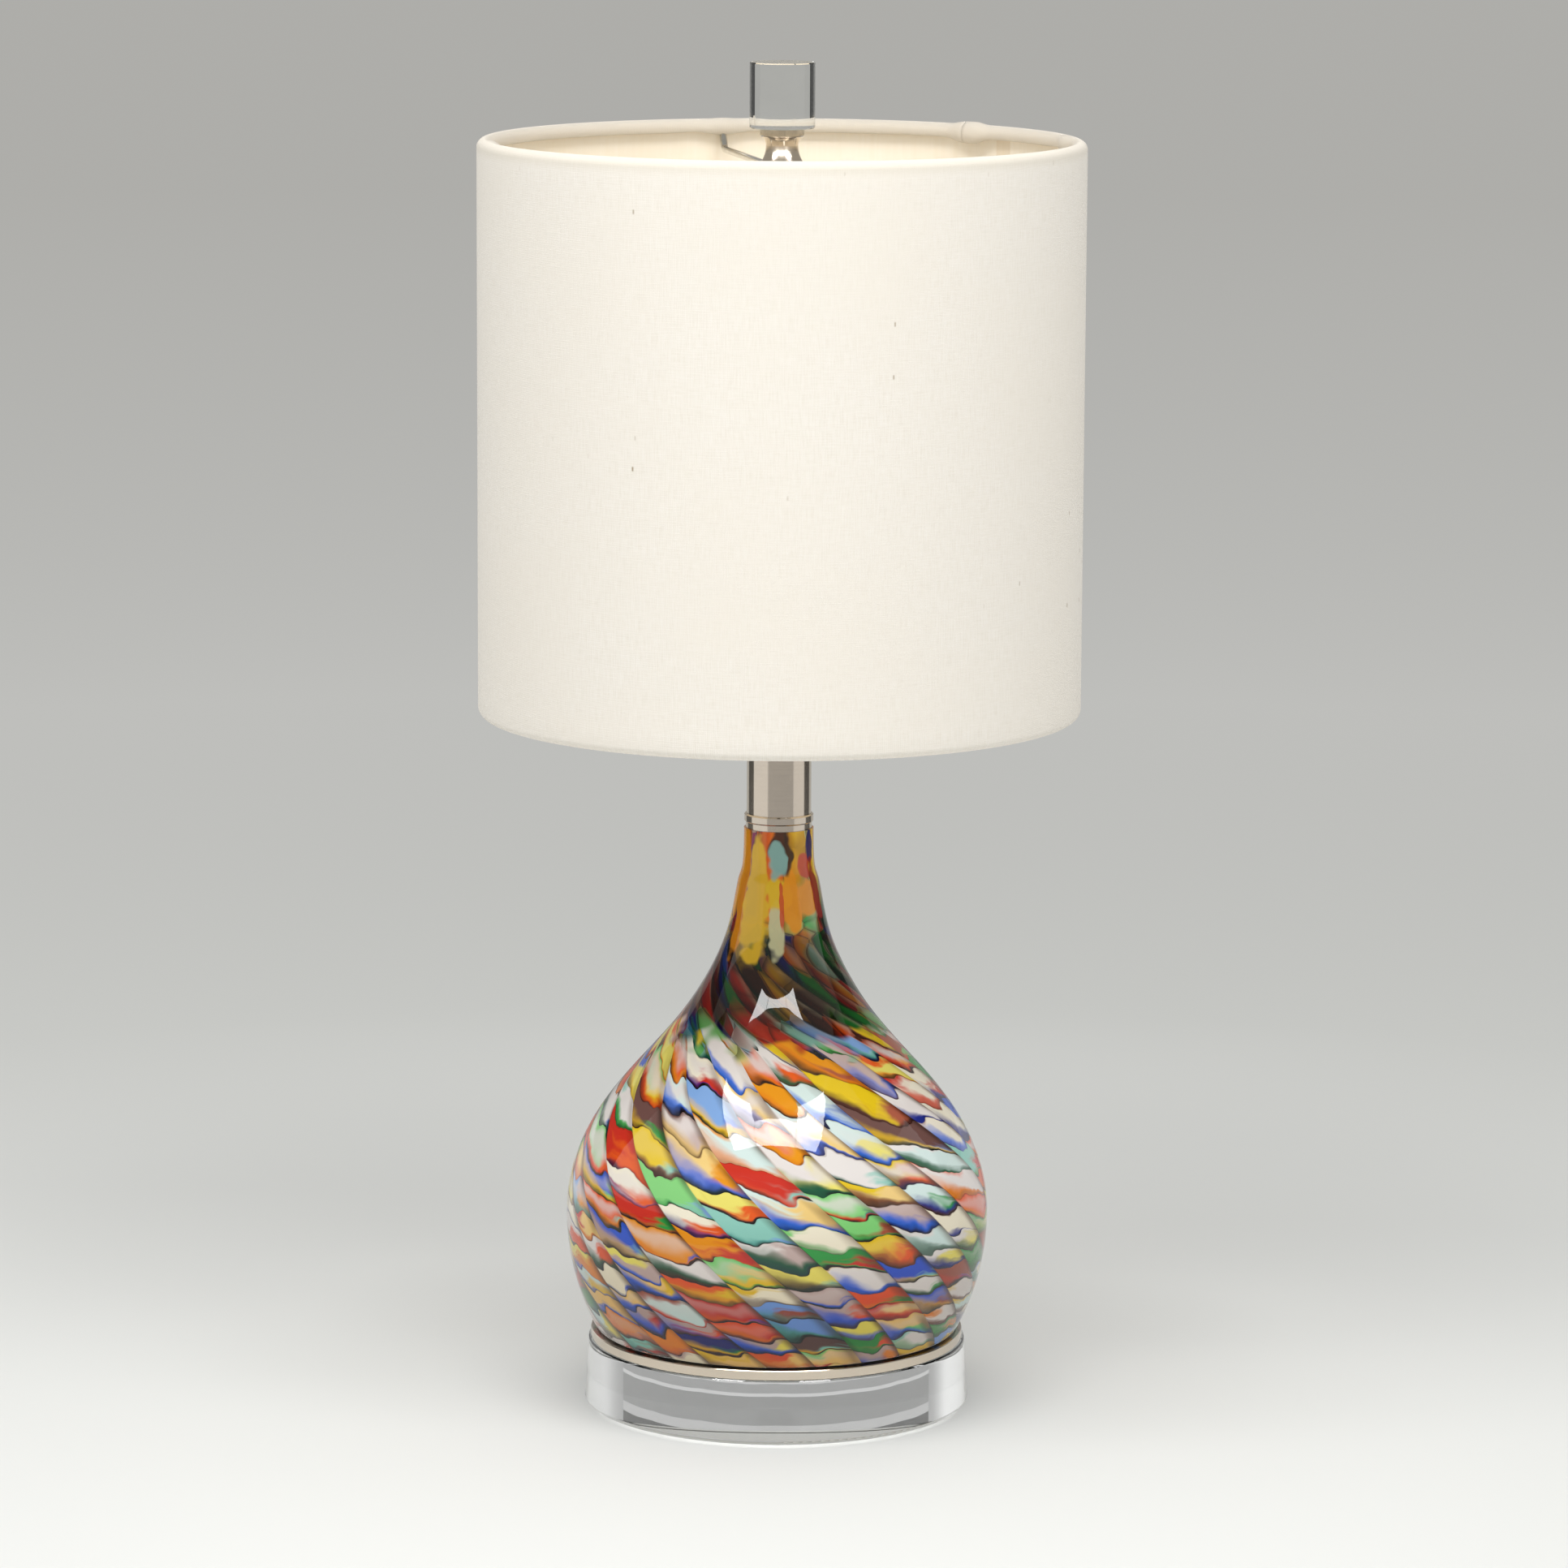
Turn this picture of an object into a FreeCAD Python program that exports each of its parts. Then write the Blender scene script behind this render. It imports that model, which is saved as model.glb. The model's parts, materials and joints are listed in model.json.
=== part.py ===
import FreeCAD, Part
import math
import os

# Accent lamp: swirled glass body on a clear base, metal neck, harp, drum shade and finial.
# Millimetres, +Z up. The origin is the centre of the footprint, on the table.
# The front of the lamp faces -Y.

# Clear base and its feet
foot_height = 1.2
foot_radius = 5.0
foot_draft = 0.8
foot_inset = 18.2
foot_count = 4
foot_bearing = 45.0
base_margin = 0.9
base_thickness = 25.4
base_taper = 1.6
base_bottom_round = 1.8
base_top_bevel = 0.5
nut_pocket_depth = 5.0

# Metal plate that the glass stands on
plate_margin = 1.93
plate_thickness = 3.8
plate_bevel = 0.3
gasket_thickness = 0.8
gasket_inset = 2.4

# Blown glass body
glass_height = 200.2
belly_radius = 83.4
belly_height = 45.8
belly_sweep_radius = 96.0
mouth_radius = 13.7
glass_wall = 4.5
glass_floor = 6.0
glass_foot_bevel = 0.7
grommet_wall = 0.9
grommet_flange_overhang = 3.6

# Cord outlet at the back of the glass
outlet_height = 17.0
outlet_bore_radius = 3.0
outlet_sleeve_wall = 1.6
outlet_flange_overhang = 2.6
outlet_flange_thickness = 1.6
outlet_tail = 3.0
outlet_seat_depth = 0.35

# Threaded pipe that clamps the stack together
pipe_radius = 4.9
pipe_bore_radius = 3.3
locknut_wall = 1.6
locknut_thickness = 4.0
locknut_teeth = 36
locknut_tooth_depth = 0.3
pipe_slot_height = 22.0
pipe_slot_half_width = 2.9
pipe_slot_length = 14.0

# Neck
cap_lip_inset = 0.7
cap_lip_thickness = 2.4
spigot_depth = 5.0
check_ring_overhang = 0.9
check_ring_thickness = 3.4
check_ring_round = 0.5
tube_radius = 12.7
tube_wall = 1.2
tube_length = 44.6
tube_cap_thickness = 2.8

# Harp, from the underside of its saddle to the seat of the shade
harp_height = 203.2
harp_half_width = 57.0
harp_wire_radius = 1.6
harp_foot_bend_radius = 24.0
harp_bow_bend_radius = 40.0
harp_arch_radius = 28.0
harp_bow_start = 0.26
harp_bow_end = 0.66
harp_arch_share = 0.56
saddle_thickness = 1.6
saddle_width = 15.0
saddle_bend_radius = 2.4
saddle_half_width = 30.0
saddle_tab_height = 14.0
saddle_tab_width = 6.0
ferrule_height = 10.0
ferrule_wall = 0.8
ferrule_travel = 12.0
ferrule_lift = 1.8
top_plate_length = 16.0
top_plate_width = 9.0
top_plate_thickness = 2.0
top_plate_lip = 3.6
stud_radius = 3.1

# Lamp holder with a turn switch
nut_across_flats = 14.3
saddle_nut_thickness = 3.0
holder_cap_height = 16.0
holder_neck_radius = 7.6
holder_neck_height = 6.5
holder_flare_height = 4.6
holder_wall = 0.6
holder_lap = 2.4
holder_shell_length = 45.0
holder_bead = 0.6
insulator_wall = 0.5
core_clearance = 0.95
core_height = 20.0
core_flat_depth = 2.4
core_axis_height = 9.5
screw_shell_radius = 13.5
screw_shell_wall = 0.3
screw_shell_clearance = 1.85
contact_thickness = 0.5
contact_half_length = 6.0
contact_half_width = 2.2
terminal_head_radius = 2.4
terminal_head_thickness = 1.4
terminal_shank_radius = 1.4
terminal_shank_length = 4.0
set_screw_radius = 1.5
set_screw_proud = 1.2
end_bushing_depth = 3.4

# Turn switch
rotor_radius = 4.0
rotor_thickness = 5.0
switch_shaft_radius = 2.0
knob_radius = 5.6
knob_draft = 0.7
knob_length = 17.0
knob_flutes = 12
knob_flute_radius = 0.7
knob_wall = 3.0

# Bulb
bulb_radius = 30.0
bulb_length = 106.0
bulb_glass_wall = 0.8
bulb_cap_length = 24.0
bulb_neck_inset = 0.5
bulb_neck_length = 10.6
bulb_thread_depth = 0.6
bulb_thread_count = 4
bulb_insulator_height = 2.8
bulb_insulator_radius = 5.0
bulb_contact_radius = 4.0
bulb_contact_height = 1.0

# Drum shade and its spider
shade_radius = 117.9
shade_height = 224.4
fitter_drop = 12.0
ring_wire_radius = 1.6
rim_cloth_thickness = 1.7
liner_thickness = 0.8
cover_thickness = 0.6
hub_radius = 12.0
hub_thickness = 2.4
hub_hole_radius = 5.6
arm_radius = 1.4
arm_count = 4
arm_bearing = 12.3
arm_elbow_inset = 6.1
arm_elbow_radius = 4.0

# Finial
finial_base_radius = 9.6
finial_waist_radius = 6.3
finial_waist_height = 8.1
finial_flare_radius = 8.2
finial_flare_height = 12.2
finial_collar_radius = 8.6
finial_collar_thickness = 2.6
finial_groove_depth = 0.9
finial_groove_height = 0.5
finial_radius = 12.7
finial_length = 25.4
finial_bevel = 0.4
finial_thread_depth = 10.0

# Clearances
thread_gap = 0.05
running_gap = 0.06
slide_gap = 0.15
seat_gap = 0.1
loose_gap = 0.3
bulb_gap = 0.3

# Heights worked out from the stack
base_bottom = foot_height
base_top = base_bottom + base_thickness
plate_top = base_top + plate_thickness
glass_bottom = plate_top + gasket_thickness
glass_top = glass_bottom + glass_height
belly_level = glass_bottom + belly_height
cap_top = glass_top + cap_lip_thickness
check_ring_top = cap_top + check_ring_thickness
tube_top = check_ring_top + tube_length
saddle_bottom = tube_top + tube_cap_thickness
saddle_top = saddle_bottom + saddle_thickness
holder_bottom = saddle_top + saddle_nut_thickness
holder_joint = holder_bottom + holder_cap_height
holder_top = holder_joint + holder_shell_length
core_bottom = holder_joint - holder_lap
core_top = core_bottom + core_height
switch_level = core_bottom + core_axis_height
shade_seat = saddle_bottom + harp_height
hub_bottom = shade_seat + seat_gap
hub_top = hub_bottom + hub_thickness
arm_level = (hub_bottom + hub_top) / 2
shade_top = arm_level + fitter_drop
shade_bottom = shade_top - shade_height
finial_bottom = hub_top + seat_gap
collar_bottom = finial_bottom + finial_flare_height
cylinder_bottom = collar_bottom + finial_collar_thickness

# Radii worked out from neighbouring pieces, from the middle of the lamp outwards
pipe_hole_radius = pipe_radius + slide_gap
locknut_radius = pipe_radius + locknut_wall
nut_pocket_radius = locknut_radius + loose_gap
glass_hole_radius = pipe_radius + thread_gap + grommet_wall + slide_gap
grommet_flange_radius = glass_hole_radius + grommet_flange_overhang
glass_foot_drop = belly_sweep_radius - math.sqrt(belly_sweep_radius ** 2 - belly_height ** 2)
glass_foot_radius = belly_radius - glass_foot_drop
plate_radius = glass_foot_radius + plate_margin
base_radius = plate_radius + base_margin + base_taper
foot_circle_radius = base_radius - foot_inset
outlet_sleeve_radius = outlet_bore_radius + outlet_sleeve_wall
outlet_flange_radius = outlet_sleeve_radius + outlet_flange_overhang
mouth_bore_radius = mouth_radius - glass_wall
cap_lip_radius = mouth_radius - cap_lip_inset
check_ring_radius = tube_radius + check_ring_overhang
tube_bore_radius = tube_radius - tube_wall
roll_radius = ring_wire_radius + rim_cloth_thickness
ring_radius = shade_radius - roll_radius
liner_outer_radius = shade_radius - cover_thickness
liner_inner_radius = liner_outer_radius - liner_thickness
bulb_cap_radius = screw_shell_radius - screw_shell_wall - bulb_gap
bulb_neck_radius = bulb_cap_radius - bulb_neck_inset
insulator_bore_radius = screw_shell_radius + screw_shell_clearance
insulator_outer_radius = insulator_bore_radius + insulator_wall
shell_bore_radius = insulator_outer_radius + slide_gap
holder_radius = shell_bore_radius + holder_wall
core_radius = insulator_bore_radius - core_clearance
core_flat = core_radius - core_flat_depth

# The harp's straight legs stand inside the saddle's tabs
leg_offset = saddle_half_width - saddle_thickness - seat_gap - harp_wire_radius

# Outline of the shoulder and neck: share of the height from belly to mouth, and share of
# the difference between their radii that is left there
neck_outline = [(0.13, 0.957), (0.26, 0.819), (0.39, 0.590), (0.52, 0.343),
                (0.66, 0.157), (0.77, 0.073), (0.87, 0.030)]

Vector = FreeCAD.Vector
CENTRE = Vector(0, 0, 0)
UP = Vector(0, 0, 1)
BACK = Vector(0, 1, 0)


def disc(radius, low, high):
    return Part.makeCylinder(radius, high - low, Vector(0, 0, low))


def turned(corners):
    """Solid turned about the Z axis from (radius, height) corners."""
    points = [Vector(radius, 0, height) for radius, height in corners]
    face = Part.Face(Part.makePolygon(points + points[:1]))
    return face.revolve(CENTRE, UP, 360)


def turned_edges(edges):
    return Part.Face(Part.Wire(edges)).revolve(CENTRE, UP, 360)


def tube(outer, inner, low, high):
    return turned([(inner, low), (outer, low), (outer, high), (inner, high)])


def line(start, end):
    return Part.LineSegment(start, end).toShape()


def arc(start, middle, end):
    return Part.Arc(start, middle, end).toShape()


def block(low, high):
    return Part.makeBox(high.x - low.x, high.y - low.y, high.z - low.z, low)


def prism(corners, height):
    return Part.Face(Part.makePolygon(corners + corners[:1])).extrude(Vector(0, 0, height))


def turned_to(shape, bearing):
    """Copy of a shape, turned about the Z axis by a bearing in degrees."""
    copy = shape.copy()
    copy.rotate(CENTRE, UP, bearing)
    return copy


def torus(centre_radius, wire_radius, level):
    return Part.makeTorus(centre_radius, wire_radius, Vector(0, 0, level))


def on_circle(radius, bearing, level):
    angle = math.radians(bearing)
    return Vector(radius * math.cos(angle), radius * math.sin(angle), level)


def rounded_path(corners, radii):
    """Straight runs joined by tangent arcs, with one radius for each inner corner."""
    edges = []
    start = corners[0]
    for before, corner, after, radius in zip(corners, corners[1:], corners[2:], radii):
        into = (corner - before).normalize()
        out = (after - corner).normalize()
        turn = into.getAngle(out)
        reach = radius * math.tan(turn / 2)
        first = corner - into * reach
        last = corner + out * reach
        inward = (out - into).normalize()
        middle = corner + inward * (radius / math.cos(turn / 2) - radius)
        edges.append(line(start, first))
        edges.append(arc(first, middle, last))
        start = last
    edges.append(line(start, corners[-1]))
    return Part.Wire(edges)


def rod(path, radius):
    first = path.OrderedEdges[0]
    section = Part.Wire(Part.makeCircle(radius, first.valueAt(0), first.tangentAt(0)))
    return path.makePipeShell([section], True, False)


def save(name, *solids):
    shape = solids[0] if len(solids) == 1 else Part.makeCompound(list(solids))
    shape.exportStep(os.path.join("parts", name + ".step"))
    print(name, len(shape.Solids), round(shape.Volume, 1), shape.isValid())


def bumper_feet():
    foot = Part.makeCone(foot_radius - foot_draft, foot_radius, foot_height)
    feet = []
    for index in range(foot_count):
        copy = foot.copy()
        bearing = foot_bearing + index * 360 / foot_count
        copy.translate(on_circle(foot_circle_radius, bearing, 0))
        feet.append(copy)
    return feet


def acrylic_base():
    top_radius = base_radius - base_taper
    curve = base_bottom_round
    diagonal = curve * (1 - math.sqrt(0.5))
    flat_edge = Vector(base_radius - curve, 0, base_bottom)
    side_edge = Vector(base_radius, 0, base_bottom + curve)
    middle = Vector(base_radius - diagonal, 0, base_bottom + diagonal)
    shoulder = Vector(top_radius, 0, base_top - base_top_bevel)
    rim = Vector(top_radius - base_top_bevel, 0, base_top)
    pocket_rim = Vector(nut_pocket_radius, 0, base_top)
    pocket_floor = Vector(nut_pocket_radius, 0, base_top - nut_pocket_depth)
    pocket_centre = Vector(0, 0, base_top - nut_pocket_depth)
    bottom_centre = Vector(0, 0, base_bottom)
    edges = [line(bottom_centre, flat_edge), arc(flat_edge, middle, side_edge)]
    corners = [side_edge, shoulder, rim, pocket_rim, pocket_floor, pocket_centre, bottom_centre]
    edges += [line(start, end) for start, end in zip(corners, corners[1:])]
    return turned_edges(edges)


def seat_plate():
    return turned([
        (pipe_hole_radius, base_top),
        (plate_radius - plate_bevel, base_top),
        (plate_radius, base_top + plate_bevel),
        (plate_radius, plate_top - plate_bevel),
        (plate_radius - plate_bevel, plate_top),
        (pipe_hole_radius, plate_top),
    ])


def pipe_locknut():
    """Knurled ring nut in the pocket of the base, under the plate."""
    low = base_top - locknut_thickness
    corners = []
    for index in range(2 * locknut_teeth):
        radius = locknut_radius - locknut_tooth_depth * (index % 2)
        corners.append(on_circle(radius, index * 180 / locknut_teeth, low))
    nut = prism(corners, locknut_thickness)
    return nut.cut(disc(pipe_radius + thread_gap, low, base_top))


def seat_gasket():
    return tube(glass_foot_radius - gasket_inset, pipe_hole_radius, plate_top, glass_bottom)


def sweep_point(radius, level):
    """Point at a level on an arc about the centre of the belly's lower sweep."""
    rise = math.sqrt(radius ** 2 - (belly_level - level) ** 2)
    return Vector(belly_radius - belly_sweep_radius + rise, 0, level)


def sweep_arc(radius, low):
    start = sweep_point(radius, low)
    middle = sweep_point(radius, (low + belly_level) / 2)
    return arc(start, middle, sweep_point(radius, belly_level))


def shoulder_curve(points):
    curve = Part.BSplineCurve()
    curve.interpolate(Points=points, InitialTangent=UP, FinalTangent=UP)
    return curve


def shoulder_points():
    neck = [(0.0, 1.0)] + neck_outline + [(1.0, 0.0)]
    points = []
    for height_share, radius_share in neck:
        radius = mouth_radius + (belly_radius - mouth_radius) * radius_share
        level = belly_level + (glass_top - belly_level) * height_share
        points.append(Vector(radius, 0, level))
    return points


def inner_shoulder_points(outer_curve, points):
    """Points one wall inside the outer curve, measured square to it."""
    inner = []
    for point in points:
        along = outer_curve.tangent(outer_curve.parameter(point))[0]
        outward = Vector(along.z, 0, -along.x)
        inner.append(point - outward * glass_wall)
    return inner


def glass_body():
    outer_points = shoulder_points()
    outer = shoulder_curve(outer_points)
    inner_points = inner_shoulder_points(outer, outer_points)
    inner = shoulder_curve(inner_points)
    foot = sweep_point(belly_sweep_radius, glass_bottom + glass_foot_bevel)
    foot_edge = Vector(foot.x - glass_foot_bevel, 0, glass_bottom)
    hole_low = Vector(glass_hole_radius, 0, glass_bottom)
    hole_high = Vector(glass_hole_radius, 0, glass_bottom + glass_floor)
    inner_foot = sweep_point(belly_sweep_radius - glass_wall, glass_bottom + glass_floor)
    edges = [
        line(foot_edge, foot),
        sweep_arc(belly_sweep_radius, glass_bottom + glass_foot_bevel),
        outer.toShape(),
        line(outer_points[-1], inner_points[-1]),
        inner.toShape(),
        sweep_arc(belly_sweep_radius - glass_wall, glass_bottom + glass_floor),
        line(inner_foot, hole_high),
        line(hole_high, hole_low),
        line(hole_low, foot_edge),
    ]
    glass = turned_edges(edges)
    hole = outlet_cylinder(outlet_sleeve_radius + slide_gap, -2 * glass_wall, 2 * glass_wall)
    flat = outlet_cylinder(2 * outlet_flange_radius, -outlet_seat_depth, glass_wall)
    return glass.cut(hole).cut(flat)


def outlet_frame():
    """Point on the back of the glass where the cord leaves, and the way it points.

    A flat is ground there for the bushing's flange.
    """
    point = sweep_point(belly_sweep_radius, glass_bottom + outlet_height)
    centre = Vector(belly_radius - belly_sweep_radius, 0, belly_level)
    outward = (point - centre).normalize()
    return Vector(0, point.x, point.z), Vector(0, outward.x, outward.z)


def outlet_cylinder(radius, low, high):
    """Cylinder on the outlet's axis, between two distances from the glass surface."""
    point, outward = outlet_frame()
    return Part.makeCylinder(radius, high - low, point + outward * low, outward)


def cord_bushing():
    inner_end = -(glass_wall + outlet_tail)
    outer_end = outlet_flange_thickness - outlet_seat_depth
    sleeve = outlet_cylinder(outlet_sleeve_radius, inner_end, outer_end)
    flange = outlet_cylinder(outlet_flange_radius, -outlet_seat_depth, outer_end)
    bore = outlet_cylinder(outlet_bore_radius, 2 * inner_end, -2 * inner_end)
    return sleeve.fuse(flange).cut(bore).removeSplitter()


def glass_grommet():
    """Soft bush that keeps the pipe off the glass floor."""
    inner = pipe_radius + thread_gap
    sleeve_top = glass_bottom + glass_floor
    sleeve_radius = glass_hole_radius - slide_gap
    flange_top = sleeve_top + gasket_thickness
    return turned([
        (inner, glass_bottom),
        (sleeve_radius, glass_bottom),
        (sleeve_radius, sleeve_top),
        (grommet_flange_radius, sleeve_top),
        (grommet_flange_radius, flange_top),
        (inner, flange_top),
    ])


def lamp_pipe():
    """Hollow threaded pipe, with a round-ended slot at the back where the cord enters it."""
    low = base_top - locknut_thickness
    pipe = tube(pipe_radius, pipe_bore_radius, low, pipe_top())
    slot_low = glass_bottom + pipe_slot_height
    slot_high = slot_low + pipe_slot_length
    for level in (slot_low, slot_high):
        end = Vector(0, 0, level)
        pipe = pipe.cut(Part.makeCylinder(pipe_slot_half_width, 2 * pipe_radius, end, BACK))
    low_corner = Vector(-pipe_slot_half_width, 0, slot_low)
    high_corner = Vector(pipe_slot_half_width, 2 * pipe_radius, slot_high)
    return pipe.cut(block(low_corner, high_corner))


def pipe_top():
    return holder_bottom + holder_neck_height


def neck_cap():
    spigot_radius = mouth_bore_radius - loose_gap
    return turned([
        (pipe_hole_radius, glass_top - spigot_depth),
        (spigot_radius, glass_top - spigot_depth),
        (spigot_radius, glass_top),
        (cap_lip_radius, glass_top),
        (cap_lip_radius, cap_top),
        (pipe_hole_radius, cap_top),
    ])


def check_ring():
    """Ring under the neck tube, with a spigot that centres the tube."""
    spigot_radius = tube_bore_radius - slide_gap
    return turned([
        (pipe_hole_radius, cap_top),
        (check_ring_radius - check_ring_round, cap_top),
        (check_ring_radius, cap_top + check_ring_round),
        (check_ring_radius, check_ring_top - check_ring_round),
        (check_ring_radius - check_ring_round, check_ring_top),
        (spigot_radius, check_ring_top),
        (spigot_radius, check_ring_top + spigot_depth),
        (pipe_hole_radius, check_ring_top + spigot_depth),
    ])


def tube_cap():
    spigot_radius = tube_bore_radius - slide_gap
    return turned([
        (pipe_hole_radius, tube_top - spigot_depth),
        (spigot_radius, tube_top - spigot_depth),
        (spigot_radius, tube_top),
        (tube_radius, tube_top),
        (tube_radius, saddle_bottom),
        (pipe_hole_radius, saddle_bottom),
    ])


def harp_saddle():
    """Flat strip over the tube cap, bent up into a narrow tab at each end."""
    tab_top = saddle_top + saddle_tab_height
    outside = saddle_half_width
    inside = saddle_half_width - saddle_thickness
    outer = rounded_path([
        Vector(-outside, 0, tab_top),
        Vector(-outside, 0, saddle_bottom),
        Vector(outside, 0, saddle_bottom),
        Vector(outside, 0, tab_top),
    ], [saddle_bend_radius] * 2)
    inner = rounded_path([
        Vector(inside, 0, tab_top),
        Vector(inside, 0, saddle_top),
        Vector(-inside, 0, saddle_top),
        Vector(-inside, 0, tab_top),
    ], [saddle_bend_radius - saddle_thickness] * 2)
    right_end = line(Vector(outside, 0, tab_top), Vector(inside, 0, tab_top))
    left_end = line(Vector(-inside, 0, tab_top), Vector(-outside, 0, tab_top))
    outline = Part.Wire(outer.OrderedEdges + [right_end] + inner.OrderedEdges + [left_end])
    strip = Part.Face(outline).extrude(Vector(0, saddle_width, 0))
    strip.translate(Vector(0, -saddle_width / 2, 0))
    strip = strip.cut(disc(pipe_hole_radius, saddle_bottom, saddle_top))
    for side in (-1, 1):
        low_edge = min(side * saddle_tab_width / 2, side * saddle_width)
        high_edge = max(side * saddle_tab_width / 2, side * saddle_width)
        for end in (-1, 1):
            near = end * (saddle_half_width - 2 * saddle_bend_radius)
            far = end * 2 * saddle_half_width
            low = Vector(min(near, far), low_edge, saddle_bottom)
            high = Vector(max(near, far), high_edge, 2 * tab_top)
            strip = strip.cut(block(low, high))
    return strip


def hexagon(across_flats, low, high):
    corner = across_flats / math.sqrt(3)
    return prism([on_circle(corner, 60 * index, low) for index in range(6)], high - low)


def saddle_nut():
    nut = hexagon(nut_across_flats, saddle_top, holder_bottom)
    return nut.cut(disc(pipe_radius + thread_gap, saddle_top, holder_bottom))


def harp_wire_level():
    return shade_seat - top_plate_thickness - harp_wire_radius


def leg_bottom():
    """The legs end just above the inside corner of the saddle's bend."""
    return saddle_top + saddle_bend_radius - saddle_thickness + seat_gap


def leg_straight_top():
    """The legs stay straight over the whole travel of the ferrules."""
    return saddle_top + ferrule_lift + ferrule_height + ferrule_travel + loose_gap


def harp_wire():
    arch_level = harp_wire_level()
    lowest_bend = leg_straight_top() + harp_foot_bend_radius / 3
    bow_height = arch_level - lowest_bend
    bow_bottom = lowest_bend + harp_bow_start * bow_height
    bow_top = lowest_bend + harp_bow_end * bow_height
    arch_corner = harp_arch_share * harp_half_width
    half = [
        Vector(leg_offset, 0, leg_bottom()),
        Vector(leg_offset, 0, lowest_bend),
        Vector(harp_half_width, 0, bow_bottom),
        Vector(harp_half_width, 0, bow_top),
        Vector(arch_corner, 0, arch_level),
    ]
    other = [Vector(-corner.x, 0, corner.z) for corner in reversed(half)]
    bow_radius = harp_bow_bend_radius
    radii = [harp_foot_bend_radius, bow_radius, bow_radius, harp_arch_radius]
    return rod(rounded_path(half + other, radii + radii[::-1]), harp_wire_radius)


def harp_top_plate():
    """Folded plate over the top of the wire, with a hole for the stud."""
    half_length = top_plate_length / 2
    half_width = top_plate_width / 2
    under = shade_seat - top_plate_thickness
    low = Vector(-half_length, -half_width, under - top_plate_lip)
    plate = block(low, Vector(half_length, half_width, shade_seat))
    gap = harp_wire_radius + thread_gap
    channel = block(Vector(-top_plate_length, -gap, low.z), Vector(top_plate_length, gap, under))
    return plate.cut(channel).cut(disc(stud_radius + thread_gap, under, shade_seat))


def harp_stud():
    bevel = stud_radius / 5
    low = shade_seat - top_plate_thickness
    high = finial_bottom + finial_thread_depth - loose_gap
    return turned([
        (0, low),
        (stud_radius, low),
        (stud_radius, high - bevel),
        (stud_radius - bevel, high),
        (0, high),
    ])


def harp_ferrule(side):
    """Sleeve round one leg of the harp and the tab beside it. It slides up to free the leg."""
    low = saddle_top + ferrule_lift
    near = leg_offset - harp_wire_radius - slide_gap
    far = saddle_half_width + slide_gap
    half_width = saddle_tab_width / 2 + slide_gap
    high = low + ferrule_height
    outside = block(
        Vector(near - ferrule_wall, -half_width - ferrule_wall, low),
        Vector(far + ferrule_wall, half_width + ferrule_wall, high))
    corners = [edge for edge in outside.Edges if edge.tangentAt(0).cross(UP).Length < 0.001]
    outside = outside.makeFillet(ferrule_wall, corners)
    inside = block(Vector(near, -half_width, low), Vector(far, half_width, high))
    ferrule = outside.cut(inside)
    return ferrule if side > 0 else turned_to(ferrule, 180)


def holder_cap():
    """Cup under the lamp holder, threaded on the pipe."""
    bore = pipe_radius + thread_gap
    neck_top = holder_bottom + holder_neck_height
    flare = neck_top + holder_flare_height
    wall = holder_wall
    cup = holder_radius + holder_wall
    body = turned([
        (bore, holder_bottom),
        (holder_neck_radius, holder_bottom),
        (holder_neck_radius + wall, neck_top - wall),
        (cup, flare),
        (cup, holder_joint),
        (holder_radius + running_gap, holder_joint),
        (holder_radius + running_gap, flare + wall),
        (holder_neck_radius, neck_top + wall),
        (bore, neck_top + wall),
    ])
    return body.cut(set_screw_solid(set_screw_radius + thread_gap))


def set_screw_solid(radius):
    level = holder_bottom + holder_neck_height / 2
    start = pipe_radius + thread_gap
    length = holder_neck_radius + set_screw_proud - start
    return Part.makeCylinder(radius, length, Vector(0, start, level), BACK)


def holder_set_screw():
    return set_screw_solid(set_screw_radius)


def pipe_end_bushing():
    """Plastic bush that keeps the wires off the pipe's cut edge."""
    low = pipe_top()
    wall = holder_wall
    inner = pipe_bore_radius - 2 * wall
    return turned([
        (inner, low - end_bushing_depth),
        (pipe_bore_radius - thread_gap, low - end_bushing_depth),
        (pipe_bore_radius - thread_gap, low),
        (pipe_radius - wall, low),
        (pipe_radius - wall, low + 2 * wall),
        (inner, low + 2 * wall),
    ])


def switch_slot():
    """Way in through the holder's wall for the switch shaft."""
    radius = switch_shaft_radius + loose_gap
    start = Vector(0, -2 * holder_radius, switch_level)
    return Part.makeCylinder(radius, 2 * holder_radius, start, BACK)


def holder_shell():
    low = holder_joint - holder_lap
    high = holder_top
    outer = holder_radius
    inner = shell_bore_radius
    body = turned([
        (inner, low),
        (outer, low),
        (outer, high - 3 * holder_bead),
        (outer + holder_bead, high - 2 * holder_bead),
        (outer + holder_bead, high - holder_bead),
        (outer, high),
        (inner, high),
    ])
    return body.cut(switch_slot())


def shell_insulator():
    low = holder_joint - holder_lap
    high = holder_top - 2 * holder_bead
    sleeve = tube(insulator_outer_radius, insulator_bore_radius, low, high)
    return sleeve.cut(switch_slot())


def holder_core():
    """Moulded block inside the holder, with flats for the terminals and a seat for the switch."""
    core = disc(core_radius, core_bottom, core_top)
    for side in (-1, 1):
        near = side * core_flat
        far = side * 2 * core_radius
        low = Vector(min(near, far), -core_radius, core_bottom)
        core = core.cut(block(low, Vector(max(near, far), core_radius, core_top)))
    core = core.cut(rotor_solid(rotor_radius + loose_gap, loose_gap))
    core = core.cut(shaft_solid(switch_shaft_radius + running_gap, 0))
    for screw in terminal_shanks(terminal_shank_radius + thread_gap, slide_gap):
        core = core.cut(screw)
    return core


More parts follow.
